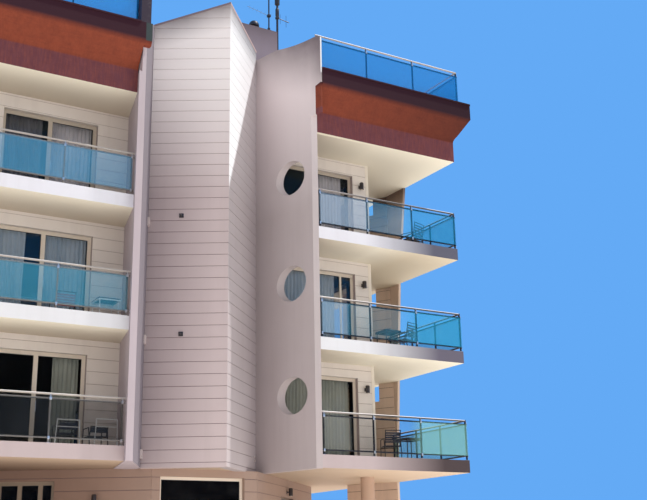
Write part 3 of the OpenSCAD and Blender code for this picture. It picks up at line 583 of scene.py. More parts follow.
def tower_finish(name, wall, colour, painted_light, tops, shade, sun_line):
    """Boards of the tower: a painted glow high up, soiled right below the top edge, and darker at the left
    low down, as painted shade with some dirt.

    The sun line, given by its height at each end of the wall, is where the sun stops reaching the wall:
    above it the boards get painted sunlight at every height, and below it hardly any painted glow.
    """
    finish = Finish(name, colour)
    weather(finish, 0.06, 0.08)
    start = wall.at(0, 0)
    s = finish.calc("ADD", *(finish.calc("MULTIPLY", finish.calc("SUBTRACT", finish.axis(i), start[i]),
                                         wall.along[i]) for i in (X, Y)))
    # Painted light: a glow high up and, on the right face, painted sunlight above the sun line
    light_amount = finish.along(Z, GLOW_FROM, GLOW_TO, 0.0, 0.25 if sun_line else 1.0)
    if sun_line:
        line = finish.ramp(s, 0.0, wall.length, *sun_line)
        sunny = finish.ramp(finish.calc("SUBTRACT", finish.axis(Z), line), -0.12, 0.12)
        light_amount = finish.calc("MAXIMUM", light_amount, sunny)
    finish.layer(painted_light, light_amount)
    # Painted shade, with some dirt: darker at the left of the face, low down
    left = finish.ramp(s, 0.0, wall.length * 0.85, shade, 0.0)
    finish.layer((120, 104, 110), finish.along(Z, GLOW_FROM, GLOW_TO, 1.0, 0.0), left)
    rise = (tops[1] - tops[0]) / wall.length
    soil_below(finish, finish.calc("ADD", finish.calc("MULTIPLY", s, rise), tops[0]), 0.85, 0.9)
    grain(finish)
    return finish.done()


def slab_finish(name, edge_colour, end_shade_colour=None, soffit=SOFFIT, porch=False, right_soffit=None):
    """A floor: painted edges, a cream soffit and tiles on top. Painted shade darkens the edges towards the
    right end and the soffit near the door wall and the fin, and deeper over the porch.
    """
    finish = Finish(name, edge_colour, 0.7)
    weather(finish, 0.06, 0.10, (150, 130, 120))
    # Painted shade: the edges get darker towards the right end
    if end_shade_colour:
        finish.layer(end_shade_colour, finish.along(X, SIDE_X - 1.2, SIDE_X + 1.2, 0.0, 0.97))
    underneath = finish.facing((0, 0, -1))
    finish.layer(soffit, underneath)
    left = finish.along(X, LEFT_W + 0.4, LEFT_W + 4.4, 1.0, 0.0)
    # Painted shade on the soffit: near the door wall at the left wing, and near the fin at the right wing
    finish.layer((190, 168, 146), underneath, finish.along(Y, 0.1, DOOR_WALL_Y, 0.0, 0.6), left)
    finish.layer((156, 136, 118), underneath, finish.along(X, LEFT_W + 4.4, LEFT_W + 4.5),
                 finish.along(X, LEFT_W + FIN_X, SIDE_X - 0.6, 0.6, 0.0))
    if porch:
        # Deeper painted shade on the soffit over the porch
        finish.layer((122, 93, 76), underneath, finish.along(Y, 0.2, 3.0, 0.35, 0.88), left)
    if right_soffit:
        finish.layer(right_soffit, underneath, finish.along(X, SIDE_X - 0.6, SIDE_X + 0.6))
    tiles = finish.add("ShaderNodeTexBrick", {
        "Vector": finish.where, "Scale": 1.0, "Mortar Size": 0.006, "Brick Width": 0.33, "Row Height": 0.33,
        "Color1": srgb((178, 160, 142)), "Color2": srgb((166, 149, 133)), "Mortar": srgb((110, 100, 92))},
        offset=0.0)
    on_top = finish.facing((0, 0, 1))
    finish.layer(tiles.outputs["Color"], on_top)
    indoors(finish, on_top if porch else 1.0)
    grain(finish, 60.0, 0.25)
    return finish.done()


SLOPE_FOOT = CANOPY_Z + 0.61
SLOPE_HEAD = SLOPE_FOOT + 0.72


def fascia_finish():
    """Brown sheet: a purple foot, a rusty slope and a dark head, mottled and finely streaked. Painted shade
    darkens the slope towards the right end and a band where the head returns at the left fin.
    """
    finish = Finish("fascia_sheet", (114, 68, 76), 0.6, specular=0.12)
    slope = finish.along(Z, SLOPE_FOOT - 0.01, SLOPE_FOOT + 0.04)
    finish.layer((164, 80, 56), slope)
    finish.patches(finish.noise(5.0, 5.0, (1.0, 1.0, 0.6), 0.7), 0.35, 0.7, 0.30, (96, 44, 40))
    finish.patches(finish.noise(24.0, 3.0, (1.0, 1.0, 0.12), 0.7), 0.4, 0.7, 0.22, (190, 104, 74))
    finish.patches(finish.noise(30.0, 2.0, (0.1, 0.1, 1.0)), 0.5, 0.75, 0.16, (80, 40, 40))
    finish.layer((66, 34, 44), finish.along(Z, SLOPE_HEAD - 0.10, SLOPE_HEAD + 0.06))
    # Painted shade: a teal-grey band where the head returns at the left fin
    finish.layer((74, 88, 88), finish.span(X, LEFT_W + 0.04, LEFT_W + 0.30, 0.02),
                 finish.along(Y, 1.0, 1.1, 1.0, 0.0), finish.along(Z, SLOPE_HEAD - 0.02, SLOPE_HEAD))
    # Painted shade: the slope gets darker towards the right end
    finish.layer((44, 22, 24), finish.along(X, LEFT_W + FIN_X, FASCIA_X, 0.3, 0.7), slope)
    finish.layer(SOFFIT, finish.facing((0, 0, -1)),
                 finish.along(Z, CANOPY_Z + 0.10, CANOPY_Z + 0.14, 1.0, 0.0))
    finish.bump(finish.noise(12.0, 3.0, (1.0, 1.0, 0.3)), 0.25, 0.01)
    return finish.done()


def metal_finish(name, colour, roughness=0.35, metallic=0.7, wear=(150, 140, 130), middle=None):
    """Brushed or painted metal with small scuffs, and another colour on the opening under the tower."""
    finish = Finish(name, colour, roughness, metallic)
    finish.patches(finish.noise(7.0, 4.0), 0.55, 0.8, 0.25, wear)
    if middle:
        finish.layer(middle, finish.span(X, shop_left.x + 0.05, shop_right.x - 0.05, 0.05),
                     finish.along(Y, LEFT_SHOP_Y - 0.05, LEFT_SHOP_Y, 1.0, 0.0))
    finish.bump(finish.noise(140.0, 2.0), 0.1, 0.0006)
    return finish.done()


def rail_finish(name, handrail_low, highlight_fade_to, highlight_left_of=None):
    """Rails: dark posts and lower rails. The handrail carries a painted reflection that fades towards the
    right and a painted highlight on top, and the whole rail is painted lighter at the left.
    """
    finish = Finish(name, (30, 30, 38), 0.42, 0.1, 0.3)
    finish.patches(finish.noise(9.0, 4.0), 0.5, 0.8, 0.25, (110, 104, 104))
    handrail = finish.along(Z, handrail_low - STEP, handrail_low)
    # Painted reflection on the handrail, fading towards the right end
    fade = finish.along(X, LEFT_W + FIN_X + 0.4, SIDE_X - 0.6, 0.75, highlight_fade_to)
    finish.layer((196, 184, 176), handrail, fade)
    # Painted highlight on top of the handrail
    finish.layer((232, 228, 226), handrail, finish.facing((0, 0, 1), 0.1, 0.6))
    if highlight_left_of:
        # Painted light: the whole rail is lighter at the left
        finish.layer((196, 188, 180), finish.along(X, highlight_left_of, highlight_left_of + 0.1, 0.45, 0.0))
    finish.bump(finish.noise(140.0, 2.0), 0.08, 0.0006)
    return finish.done()


def dusty(finish, see, smear):
    """Lays faint smears of dust on glass that shows as much of itself as see says."""
    dust = finish.ramp(finish.noise(2.2, 4.0), 0.45, 0.8, 0.0, smear)
    finish.layer(DUST, dust)
    finish.set("Alpha", finish.calc("ADD", see, dust))
    return finish.done()


def glass_finish(name, colour, alpha, shine, smear=0.03):
    return dusty(Finish(name, colour, CLEAR_ROUGHNESS, specular=shine), alpha, smear)


def rail_glass_finish(n):
    """Tinted rail glass with painted reflection: clear before the walls at the right, and more deeply
    tinted at the right end.
    """
    tint_and_reflection, alpha, shine, clear, start_end, start_tint_and_reflection, start_alpha, end_tint_and_reflection, end_alpha = RAIL_GLASS[n]
    finish = Finish(f"rail_glass_{n}", tint_and_reflection, CLEAR_ROUGHNESS, specular=shine)
    end = finish.along(X, *END_GLASS)
    finish.layer(end_tint_and_reflection, end)
    start = finish.span(X, RIGHT_GLASS_X, start_end, 0.1)
    finish.layer(start_tint_and_reflection, start)
    see = finish.along(X, RIGHT_GLASS_X - 0.1, RIGHT_GLASS_X, alpha, clear)
    for part, amount in ((start, start_alpha), (end, end_alpha)):
        see = finish.calc("ADD", see, finish.product(part, amount - clear))
    return dusty(finish, see, 0.05)


def cloth_finish(name, colour, shade):
    """Thin woven curtain cloth."""
    finish = Finish(name, colour, 0.9)
    finish.set("Sheen Weight", 0.25)
    finish.set("Alpha", 0.96)
    finish.patches(finish.noise(3.0, 3.0, (1.0, 1.0, 0.3)), 0.35, 0.75, 0.5, shade)
    weave = finish.add("ShaderNodeTexWave", {"Vector": finish.where, "Scale": 160.0, "Distortion": 0.4},
                       bands_direction="Z")
    finish.bump(weave.outputs[1], 0.15, 0.0006)
    return finish.done()


def screed_finish(name, colour):
    """Bare screed with patches and hairlines."""
    finish = Finish(name, colour, 0.9)
    finish.patches(finish.noise(0.5, 5.0), 0.4, 0.7, 0.35, (120, 116, 110))
    crack = finish.add("ShaderNodeTexVoronoi", {"Vector": finish.where, "Scale": 0.35},
                       feature="DISTANCE_TO_EDGE").outputs["Distance"]
    finish.layer((90, 88, 84), finish.ramp(crack, 0.0, 0.004, 0.35, 0.0))
    grain(finish, 40.0, 0.4)
    return finish.done()


def holed_fin_finish():
    """Plain render of the fin with the round holes, soiled below its top edge and along its nose, with a
    painted glow high up, darker towards the back, and darker towards the bottom as painted shade with some
    dirt.
    """
    finish = Finish("holed_fin", (200, 188, 188))
    weather(finish, 0.08, 0.10)
    # Painted glow high up
    finish.layer((240, 225, 226), finish.along(Z, GLOW_FROM, GLOW_TO, 0.0, 0.85))
    edge_clean = finish.along(Y, 0.2, 2.3, 0.0, 1.1)
    soil_below(finish, finish.calc("ADD", edge_clean, FIN_TOP + FIN_RISE / 2), 1.9, 1.0)
    # Darker towards the back, near the tower
    finish.layer((120, 104, 106), finish.along(Y, 0.3, 2.2, 0.0, 0.2))
    finish.layer(TOWER_SOIL, finish.along(Y, -0.36, 0.05, 0.45, 0.0), finish.along(Z, 13.6, 14.6))
    # Painted shade with some dirt: darker towards the bottom
    finish.layer((150, 128, 128), finish.along(Z, 3.4, 11.0, 0.16, 0.0))
    finish.layer((246, 246, 250), finish.facing((0, -1), 0.4, 0.6), finish.along(Z, DECK_Z, DECK_Z + 0.05))
    grain(finish)
    return finish.done()


def cabin_finish():
    """Plain render painted greyer than the fin's as painted shade, soiled below its top edge."""
    finish = Finish("cabin_render", (160, 146, 158))
    weather(finish, 0.15, 0.15)
    soil_below(finish, CABIN_TOP, 0.9, 0.8)
    grain(finish)
    return finish.done()


def screen_finish(name, low, high, most, head, groove=None):
    """Brown render that gets darker between two heights, with darker grooves where it carries boards."""
    finish = Finish(name, SCREEN_COLOUR)
    weather(finish, 0.15, 0.15, (80, 58, 48))
    finish.layer(head, finish.along(Z, low, high, 0.0, most))
    if groove:
        finish.layer(groove, finish.facing(screen_inner.out, 0.95, 0.99))
    grain(finish)
    return finish.done()


cream = metal_finish("cream_paint", (228, 214, 196), 0.45, 0.0, (204, 186, 162))
# Painted shade: the third storey's door frames are a darker copy of the cream paint
shaded_cream = metal_finish("high_cream_paint", (198, 184, 166), 0.45, 0.0, (176, 158, 138))
door_cream = {1: cream, 2: cream, 3: shaded_cream}
# Painted shade: window frames are a dark copy of the cream paint, all but the shop window under the tower
shaded_window_cream = metal_finish("window_paint", (140, 122, 104), 0.45, 0.0, (118, 102, 88), (238, 222, 204))
rubber = metal_finish("black_gasket", (26, 25, 27), 0.6, 0.0, (50, 48, 48))
steel = metal_finish("satin_steel", (206, 204, 204), 0.3, 0.75)
dark_metal = metal_finish("dark_metal", (66, 60, 60), 0.45, 0.4, (110, 100, 92))
fascia_sheet = fascia_finish()


def paint_all():
    """Gives every carried-over node its finish."""
    left, right = tower_left.out, tower_right.out
    finishes = {
        "front_wall_left": render_finish("wall_left", WALL_COLOUR, [(0, -1)], room=True),
        "front_wall_right": render_finish("wall_right", WALL_COLOUR, [(0, -1)], room=True),
        "side_wall": render_finish("wall_side", WALL_COLOUR, [(1, 0)], room=True),
        "rear_wall": render_finish("wall_rear", WALL_COLOUR, [(0, 1)], room=True),
        "end_wall": render_finish("wall_end", (214, 202, 194), clouds=0.2, streaks=0.2),
        "tower_left_wall": render_finish("tower_wall_l", TOWER_LEFT_COLOUR, [left], TOWER_GROOVE,
                                         GLOWING_GROOVE),
        "tower_right_wall": render_finish("tower_wall_r", TOWER_RIGHT_COLOUR, [right], TOWER_GROOVE,
                                          GLOWING_GROOVE),
        "ground_front_walls": render_finish("ground_wall_f", GROUND_COLOUR, [(0, -1), left, right],
                                            TOWER_GROOVE),
        "ground_rear_walls": render_finish("ground_wall_r", GROUND_COLOUR, [(1, 0), (0, 1)]),
        "porch_columns": render_finish("column_render", (196, 166, 146)),
        "ground_slab": screed_finish("floor_screed", (172, 166, 158)),
        "roof_deck": screed_finish("deck_screed", (176, 172, 166)),
        "tower_roof": screed_finish("tower_screed", (168, 164, 160)),
        # The first floor's edges and soffit are darker copies of the other floors' paint, as painted shade
        "floor_1": slab_finish("slab_1", (196, 178, 178), (68, 50, 48), (220, 194, 168), True),
        "floor_2": slab_finish("slab_2", (236, 235, 239), (100, 92, 108)),
        "floor_3": slab_finish("slab_3", (240, 238, 246), (88, 86, 102), right_soffit=(231, 216, 190)),
        "canopy_slab": slab_finish("slab_roof", (240, 232, 220)),
        "left_fin": render_finish("fin_render", (188, 174, 180), [fin_side.out], (136, 126, 132)),
        "porthole_fin": holed_fin_finish(),
        "end_screen": screen_finish("screen_render", CEILING[3] - 1.0, CEILING[3] - 0.1, 0.8, (70, 42, 34),
                                    (96, 70, 58)),
        "fascia_left": fascia_sheet, "fascia_right": fascia_sheet, "fascia_rear": fascia_sheet,
        "roof_cabin": cabin_finish(),
        "roof_post": metal_finish("post_paint", (62, 42, 46), 0.5, 0.2),
        "antenna_masts": dark_metal,
        "window_frames": shaded_window_cream,
        # Window glass painted near black and almost opaque, as painted shade of the rooms behind
        "window_glass": glass_finish("window_glass", (12, 9, 7), 0.85, 0.04, 0.02),
        "roof_rails": rail_finish("roof_rail", DECK_Z + ROOF_RAIL_H - HANDRAIL_D, 0.9),
        # The roof glass's deep blue is its tint with a painted reflection of the sky
        "roof_rail_glass": glass_finish("roof_glass", (4, 130, 216), 0.42, 0.8)}
    for n in STOREYS:
        finishes[f"door_frames_{n}"] = door_cream[n]
        finishes[f"door_glass_{n}"] = glass_finish(f"door_glass_{n}", *DOOR_GLASS[n])
        handrail_low = LEVEL[n] + RAIL_H - HANDRAIL_D
        finishes[f"balcony_rails_{n}"] = rail_finish(f"rail_{n}", handrail_low, 0.14, LEFT_W)
        finishes[f"balcony_glass_{n}"] = rail_glass_finish(n)
    for name, material in finishes.items():
        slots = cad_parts[name].data.materials
        slots.clear()
        slots.append(material)


# Boards of every boarded wall

CORNER_STRIP, CORNER_STRIP_T = 0.085, 0.016
PLINTH_H, PLINTH_T = 0.29, 0.02
TOP_STRIP, TOP_STRIP_OVER, TOP_STRIP_OUT = 0.06, 0.004, 0.008


def tower_boards():
    """Both faces of the tower up to the strip along their sloping tops, mitred at the ridge."""
    mitre = BOARD_T * math.tan(math.acos(tower_left.along.dot(tower_right.along)) / 2)
    strip = bmesh.new()
    for name, wall, colour, painted_light, tops, mitres, shade, sun_line in (
            ("tower_left_boards", tower_left, TOWER_LEFT_COLOUR, PAINTED_GLOW, TOWER_TOPS[:2], (0.0, mitre), 0.5,
             None),
            ("tower_right_boards", tower_right, TOWER_RIGHT_COLOUR, PAINTED_SUNLIGHT, TOWER_TOPS[1:],
             (mitre, 0.0), 0.0, SUN_LINE)):
        rise = (tops[1] - tops[0]) / wall.length
        bm = bmesh.new()
        boards(bm, wall, CEILING[0] - FOOT_DROP, max(tops), top=lambda s: tops[0] + rise * s - TOP_STRIP,
               mitres=mitres)
        piece(name, bm, tower_finish(name + "_paint", wall, colour, painted_light, tops, shade, sun_line))
        ends = ((-mitres[0], tops[0]), (wall.length + mitres[1], tops[1]))
        outline = [wall.at(s, top - TOP_STRIP, -SUNK) for s, top in ends]
        outline += [wall.at(s, top + TOP_STRIP_OVER, -SUNK) for s, top in reversed(ends)]
        extrude(strip, outline, wall.out.to_3d() * (BOARD_T + SUNK + TOP_STRIP_OUT))
    finish = Finish("top_strip_paint", (206, 178, 174))
    # Painted shade: the strip's faces on the tower's shaded left face are darker
    finish.layer((132, 116, 124), finish.facing(tower_left.out))
    weather(finish)
    piece("tower_top_strip", strip, finish.done())


def storey_boards():
    """Balcony walls of the three storeys, with a plain strip at the corner of the right wing."""
    board_paint = render_finish("board_paint", WALL_COLOUR)
    door, window = (DOOR_W, DOOR_H, 0.0), (WINDOW_W, WINDOW_H, SILL_H)
    corner = front_right.length - CORNER_STRIP
    for name, wall, middles, (w, h, lift), s0, s1 in (
            ("front_left_boards", front_left, left_doors, door, 0.0, front_left.length),
            ("front_right_boards", front_right, right_doors, door, 0.0, corner),
            ("side_boards", side, side_doors, door, CORNER_STRIP, side.length),
            ("rear_boards", rear, rear_windows, window, 0.0, rear.length)):
        bm = bmesh.new()
        for n in STOREYS:
            boards(bm, wall, LEVEL[n], CEILING[n], openings_in(middles, w, LEVEL[n] + lift, h), s0, s1)
        piece(name, bm, board_paint)
    bm = bmesh.new()
    for n in STOREYS:
        for wall, s0, s1 in ((front_right, corner, front_right.length + CORNER_STRIP_T),
                             (side, 0.0, CORNER_STRIP)):
            block(bm, wall.place(0, 0), (s0, -CORNER_STRIP_T, LEVEL[n]), (s1, SUNK, CEILING[n]))
    piece("corner_strips", bm, render_finish("strip_paint", (240, 230, 216)))


def ground_boards():
    openings = {wall: [] for wall in ground_walls}
    for wall, s, w, h, stiles in GROUND_OPENINGS:
        openings[wall] += openings_in([s], w, GROUND_FLOOR, h)
    openings[ground_rear] = openings_in(ground_rear_windows, WINDOW_W, GROUND_FLOOR + SILL_H, WINDOW_H)
    bm, plinth = bmesh.new(), bmesh.new()
    for wall in ground_walls:
        boards(bm, wall, PLINTH_H + 0.01, CEILING[0], openings[wall])
        low = [h for h in openings[wall] if h[2] < PLINTH_H]
        cuts = [0.0] + [s for h in low for s in h[:2]] + [wall.length]
        for s0, s1 in zip(cuts[::2], cuts[1::2]):
            block(plinth, wall.place(0, 0), (s0, -PLINTH_T, 0.0), (s1, SUNK, PLINTH_H), 0.004)
    finish = Finish("ground_board_paint", GROUND_COLOUR)
    weather(finish)
    # Painted shade: the boards darken towards the left, under the balconies
    finish.layer((112, 82, 68), finish.along(X, 10.0, 13.0, 0.65, 0.0))
    grain(finish)
    piece("ground_boards", bm, finish.done())
    piece("plinth", plinth, render_finish("plinth_render", (150, 134, 128), clouds=0.3))


def screen_boards():
    """Brown boards on the slanting stretch of the end screen, round its slots."""
    inner = screen_inner
    along = inner.length / (SCREEN_BACK_Y - SCREEN_TURN_Y)
    slot = [inner.length - (y - SCREEN_TURN_Y) * along for y in (SLOT_Y + SLOT_W, SLOT_Y)]
    bm = bmesh.new()
    for n in STOREYS:
        boards(bm, inner, LEVEL[n], CEILING[n], [(*slot, CEILING[n] - SLOT_H, CEILING[n])])
    boards(bm, inner, 0.02, CEILING[0])
    paint = screen_finish("screen_board_paint", LEVEL[3] + 1.3, CEILING[3] - 0.2, 0.85, (66, 38, 32))
    piece("screen_boards", bm, paint)


# Doors and windows

SASH_W, SASH_PROUD, LEAF_STEP = 0.018, 0.020, 0.006
GASKET_W, GASKET_PROUD = 0.014, 0.007
SLID_LEAF_X, LEAF_HALF = 17.78, 0.03
HANDLE_Z, HANDLE_OFF = 1.05, 0.014


def new_meshes(count):
    return [bmesh.new() for _ in range(count)]


def sashes(bm, gaskets, place, w, h, stiles=(0.0,)):
    """A sash and its gasket in front of each pane of one opening; a fixed pane has a gasket alone."""
    face = REVEAL + (FRAME_D - PANE_T) / 2
    lines = [(FRAME_W - w) / 2, *stiles, (w - FRAME_W) / 2]
    for i, (left, right) in enumerate(zip(lines, lines[1:])):
        x0, x1, z0, z1 = left + FRAME_W / 2, right - FRAME_W / 2, FRAME_W, h - FRAME_W
        inset = 0.0
        if stiles:
            ring(bm, place, (x0, x1, z0, z1), SASH_W, face - SASH_PROUD - LEAF_STEP * (i % 2), face, 0.003)
            inset = SASH_W - 0.002
        ring(gaskets, place, (x0 + inset, x1 - inset, z0 + inset, z1 - inset), GASKET_W, face - GASKET_PROUD,
             face)


def handle(bm, place, x, z):
    """A pull handle with two feet."""
    back, front = REVEAL + 0.014, REVEAL - 0.046
    for foot in (z - 0.09, z + 0.09):
        tube(bm, place, ((x, back, foot), (x, front, foot)), 0.008)
    tube(bm, place, ((x, front, z - 0.13), (x, front, z + 0.13)), 0.011, 10)


def threshold(bm, place, w):
    """An aluminium sill below the frame that falls towards the balcony."""
    section = ((0.01, 0.0), (REVEAL, 0.0), (REVEAL, 0.022), (0.01, 0.010))
    extrude(bm, [place @ Vector((-w / 2, y, z)) for y, z in section], place.to_3x3() @ Vector((w, 0, 0)))


def door_details():
    for n in STOREYS:
        frames, gaskets, fittings = new_meshes(3)
        for wall, middles in DOOR_WALLS:
            for s in middles:
                place = wall.place(s, LEVEL[n])
                sashes(frames, gaskets, place, DOOR_W, DOOR_H)
                threshold(fittings, place, DOOR_W)
                handle(fittings, place, FRAME_W / 2 + HANDLE_OFF, HANDLE_Z)
        if n == 2:
            # The leaf behind the fin stands partly open, and its edge shows through the pane
            place = front_right.place(front_right.reach((SLID_LEAF_X, DOOR_WALL_Y)), LEVEL[n])
            block(frames, place, (-LEAF_HALF, REVEAL - 0.012, FRAME_W),
                  (LEAF_HALF, REVEAL + 0.024, DOOR_H - FRAME_W), 0.003)
        piece(f"door_sashes_{n}", frames, door_cream[n])
        piece(f"door_gaskets_{n}", gaskets, rubber)
        piece(f"door_fittings_{n}", fittings, steel, 40)


def window_details():
    frames, gaskets, sills = new_meshes(3)
    rows = [(ground_rear, ground_rear_windows, GROUND_FLOOR)]
    rows += [(rear, rear_windows, LEVEL[n]) for n in STOREYS]
    reach = WINDOW_W / 2 + 0.05
    for wall, middles, floor in rows:
        for s in middles:
            place = wall.place(s, floor + SILL_H)
            sashes(frames, gaskets, place, WINDOW_W, WINDOW_H)
            block(sills, place, (-reach, -0.05, -0.04), (reach, REVEAL, 0.0), 0.006)
    for wall, s, w, h, stiles in GROUND_OPENINGS:
        sashes(frames, gaskets, wall.place(s, GROUND_FLOOR), w, h, stiles)
    piece("window_sashes", frames, shaded_window_cream)
    piece("window_gaskets", gaskets, rubber)
    piece("window_sills", sills, render_finish("sill_stone", (214, 204, 196)))


# Curtains

CURTAIN_BACK = WALL_T + 0.10
PLEAT, PLEAT_DEPTH, PLEAT_STEPS = 0.11, 0.035, 8
CURTAIN_ROWS = 10
CURTAIN_FOOT, CURTAIN_HEAD = 0.03, DOOR_H + 0.02
SIDE_CURTAIN = (0.35, 1.20)
MEAN_LOOSE = 0.85

# Of each storey: the wall, where the curtain starts and ends along the building, and its cloth
CURTAINS = {
    1: [(front_left, 9.46, 10.10, 1), (front_right, 15.95, 18.10, 1)],
    2: [(front_left, 7.78, 8.58, 2), (front_left, 9.02, 10.14, 2), (front_right, 15.90, 17.70, 2)],
    3: [(front_left, 7.74, 8.82, "dim"), (front_left, 8.98, 10.14, 3), (front_right, 16.72, 18.00, 3)]}
# The dim cloth is a darker copy of the third storey's cloth, as painted shade
CLOTH = {1: ((232, 236, 224), (180, 188, 178)), 2: ((228, 238, 244), (160, 186, 204)),
         3: ((246, 240, 244), (196, 188, 196)), "dim": ((128, 124, 128), (84, 84, 90))}


def curtain(name, wall, s0, s1, foot, head, material):
    """A gathered curtain on a rail inside the room, as a sheet of cloth."""
    count = max(2, round((s1 - s0) / PLEAT)) * PLEAT_STEPS
    line = []
    for i in range(count + 1):
        u = i / PLEAT_STEPS
        swell = 1 + 0.25 * math.sin(1.7 * u) + 0.15 * math.sin(0.6 * u + 1)
        line.append((s0 + (s1 - s0) * i / count, PLEAT_DEPTH * swell * math.sin(2 * math.pi * u)))
    cloth, rail = new_meshes(2)
    grid = []
    for r in range(CURTAIN_ROWS + 1):
        t = r / CURTAIN_ROWS
        z = foot + (head - foot) * t
        loose = 0.55 + 0.6 * (1 - t)
        grid.append([cloth.verts.new(wall.at(s + 0.01 * math.sin(5 * s + 3 * t), z, d * loose - CURTAIN_BACK))
                     for s, d in line])
    for low, high in zip(grid, grid[1:]):
        for i in range(count):
            cloth.faces.new((low[i], low[i + 1], high[i + 1], high[i]))
    flat = sum(math.hypot(b[0] - a[0], (b[1] - a[1]) * MEAN_LOOSE) for a, b in zip(line, line[1:]))
    made = piece(name, cloth, material, 60)
    tube(rail, wall.place(0, head), [(s, CURTAIN_BACK, 0.012) for s in (s0 - 0.04, s1 + 0.04)], 0.012)
    for s in (s0, s1):
        block(rail, wall.place(s, head), (-0.01, WALL_T - 0.002, 0.0), (0.01, CURTAIN_BACK, 0.03))
    piece(name + "_rail", rail, steel, 40)


def curtains():
    cloth = {key: cloth_finish(f"curtain_cloth_{key}", *colours) for key, colours in CLOTH.items()}
    for n, rows in CURTAINS.items():
        hung = [("curtain", wall, *(wall.reach((x, DOOR_WALL_Y)) for x in (x0, x1)), key, k + 1)
                for k, (wall, x0, x1, key) in enumerate(rows)]
        hung += [("side_curtain", side, *(s + d for d in SIDE_CURTAIN), n, k + 1)
                 for k, s in enumerate(side_doors)]
        for name, wall, s0, s1, key, number in hung:
            curtain(f"{name}_{n}_{number}", wall, s0, s1, LEVEL[n] + CURTAIN_FOOT, LEVEL[n] + CURTAIN_HEAD,
                    cloth[key])


# Rail fittings

BAR, PANEL_W, POST_GAP, RAIL_INSET, GLASS_T = 0.036, 1.76, 0.06, 0.05, 0.014
ROOF_RAIL_IN, ROOF_POST_IN = 0.274, 0.115
GLASS_GAP, ROOF_GLASS_GAP = 0.06, 0.09


def posts_between(a, b):
    """Middles of the posts of a run between the distances a and b."""
    count = math.ceil((b - a) / PANEL_W - 1e-6)
    pitch = (b - a - BAR) / count
    return [a + BAR / 2 + i * pitch for i in range(count + 1)]


def rail_runs():
    """Each balcony rail as its line, outside on the right, and the places of its posts along it."""
    front_y, rear_y, corner = RAIL_INSET, DEPTH - RAIL_INSET, RIGHT_X - RAIL_INSET
    left = Wall((WALL_T, front_y), (LEFT_W, front_y))
    left_length = LEFT_W + LEFT_FIN_SLANT * (front_y - HANDRAIL_D / 2) - WALL_T
    right = Wall((fin_left(front_y - HANDRAIL_D / 2) + FIN_T, front_y), (corner, front_y))
    in_y = SCREEN_TURN_Y + RAIL_INSET / SCREEN_SLANT
    near = Wall((corner, front_y - BAR / 2), (corner, in_y))
    far = Wall((corner, in_y + SCREEN_T / math.sin(SCREEN_ANGLE)), (corner, rear_y))
    end = Wall((corner - BAR / 2, rear_y), (SIDE_X, rear_y))
    return ((left, posts_between(POST_GAP, left_length - POST_GAP)),
            (right, posts_between(POST_GAP, right.length + BAR / 2)[:-1]),
            (near, posts_between(0.0, near.length - POST_GAP)),
            (far, posts_between(POST_GAP, far.length + BAR / 2)),
            (end, posts_between(-BAR, end.length - POST_GAP)[1:]))


def roof_runs():
    front_y, corner = FASCIA_Y + ROOF_RAIL_IN, FASCIA_X - ROOF_RAIL_IN
    rear_y = DEPTH - front_y
    left = Wall((WALL_T, front_y), (LEFT_W - ROOF_POST_IN, front_y))
    right = Wall((fin_left(front_y - HANDRAIL_D / 2) + FIN_HEAD_T, front_y), (corner, front_y))
    end = Wall((corner, front_y - BAR / 2), (corner, rear_y + BAR / 2))
    back = Wall((corner - BAR / 2, rear_y), (WALL_T, rear_y))
    return ((left, posts_between(0.0, left.length)),
            (right, posts_between(POST_GAP, right.length + BAR / 2)[:-1]),
            (end, posts_between(0.0, end.length)),
            (back, posts_between(-BAR, back.length)[1:]))


def rail_fittings(name, runs, z, h, gap):
    """At each post: a clamp under the handrail, a clamp at the foot of the glass and a base plate."""
    bm = bmesh.new()
    face = -BAR / 2 - GLASS_T
    low_top = h - HANDRAIL_D - gap
    clamps = ((0.028, face - 0.007, face, low_top - 0.055, low_top + 0.012, 0.003),
              (0.012, face - 0.002, 0.004, low_top - 0.01, h - 0.042, 0.002),
              (0.024, face - 0.007, face, 0.075, 0.150, 0.003),
              (0.024, face - 0.002, 0.002 - BAR / 2, 0.078, 0.100, 0.002),
              (0.045, -0.030, 0.060, -0.001, 0.009, 0.002))
    for wall, posts in runs:
        for s in posts:
            place = wall.place(s, z)
            for half, y0, y1, z0, z1, chamfer in clamps:
                block(bm, place, (-half, y0, z0), (half, y1, z1), chamfer)
            for x in (-0.032, 0.032):
                bolt = place @ Matrix.Translation((x, 0.045, 0.008))
                turned(bm, bolt, ((0.007, 0), (0.007, 0.005), (0.003, 0.008)), 8)
    piece(name, bm, steel, 40)


def rails():
    for n in STOREYS:
        rail_fittings(f"rail_fittings_{n}", rail_runs(), LEVEL[n], RAIL_H, GLASS_GAP)
    rail_fittings("roof_rail_fittings", roof_runs(), DECK_Z, ROOF_RAIL_H, ROOF_GLASS_GAP)


# Roof edge trims, lamps, spouts, antennas

LAMP_X, LAMP_Z = 18.47, 2.06
PORCH_LAMPS = ((ground_splay, 10.794, 2.247, 2.72), (ground_porch, 17.05, 3.77, 3.10))
MAST_D, MAST_GAP, MAST_BACK, THIN_MAST_IN = 0.07, 0.01, 0.08, 0.26
MAST_CLIPS_Z = (15.2, 16.6)
AMPLIFIERS = ((17.92, 0.060), (18.33, 0.080))
PALE_AERIAL_Z, DARK_AERIAL_Z = 17.87, 17.88

# Places along the wall and heights of the spouts and the small boxes
SPOUTS = ((0.88, 10.02), (0.93, 6.81))
TOWER_BOXES = ((2.32, 3.89), (2.42, 3.79))
FIN_BOXES = [(fin_side.length - 0.10, z) for z in (9.83, 6.66, 3.77)]

# Places in plan of the vent and the block beside it on the cabin
VENT = (15.78, CABIN_FRONT + 0.63)
VENT_BLOCK = (15.95, CABIN_FRONT + 1.0)


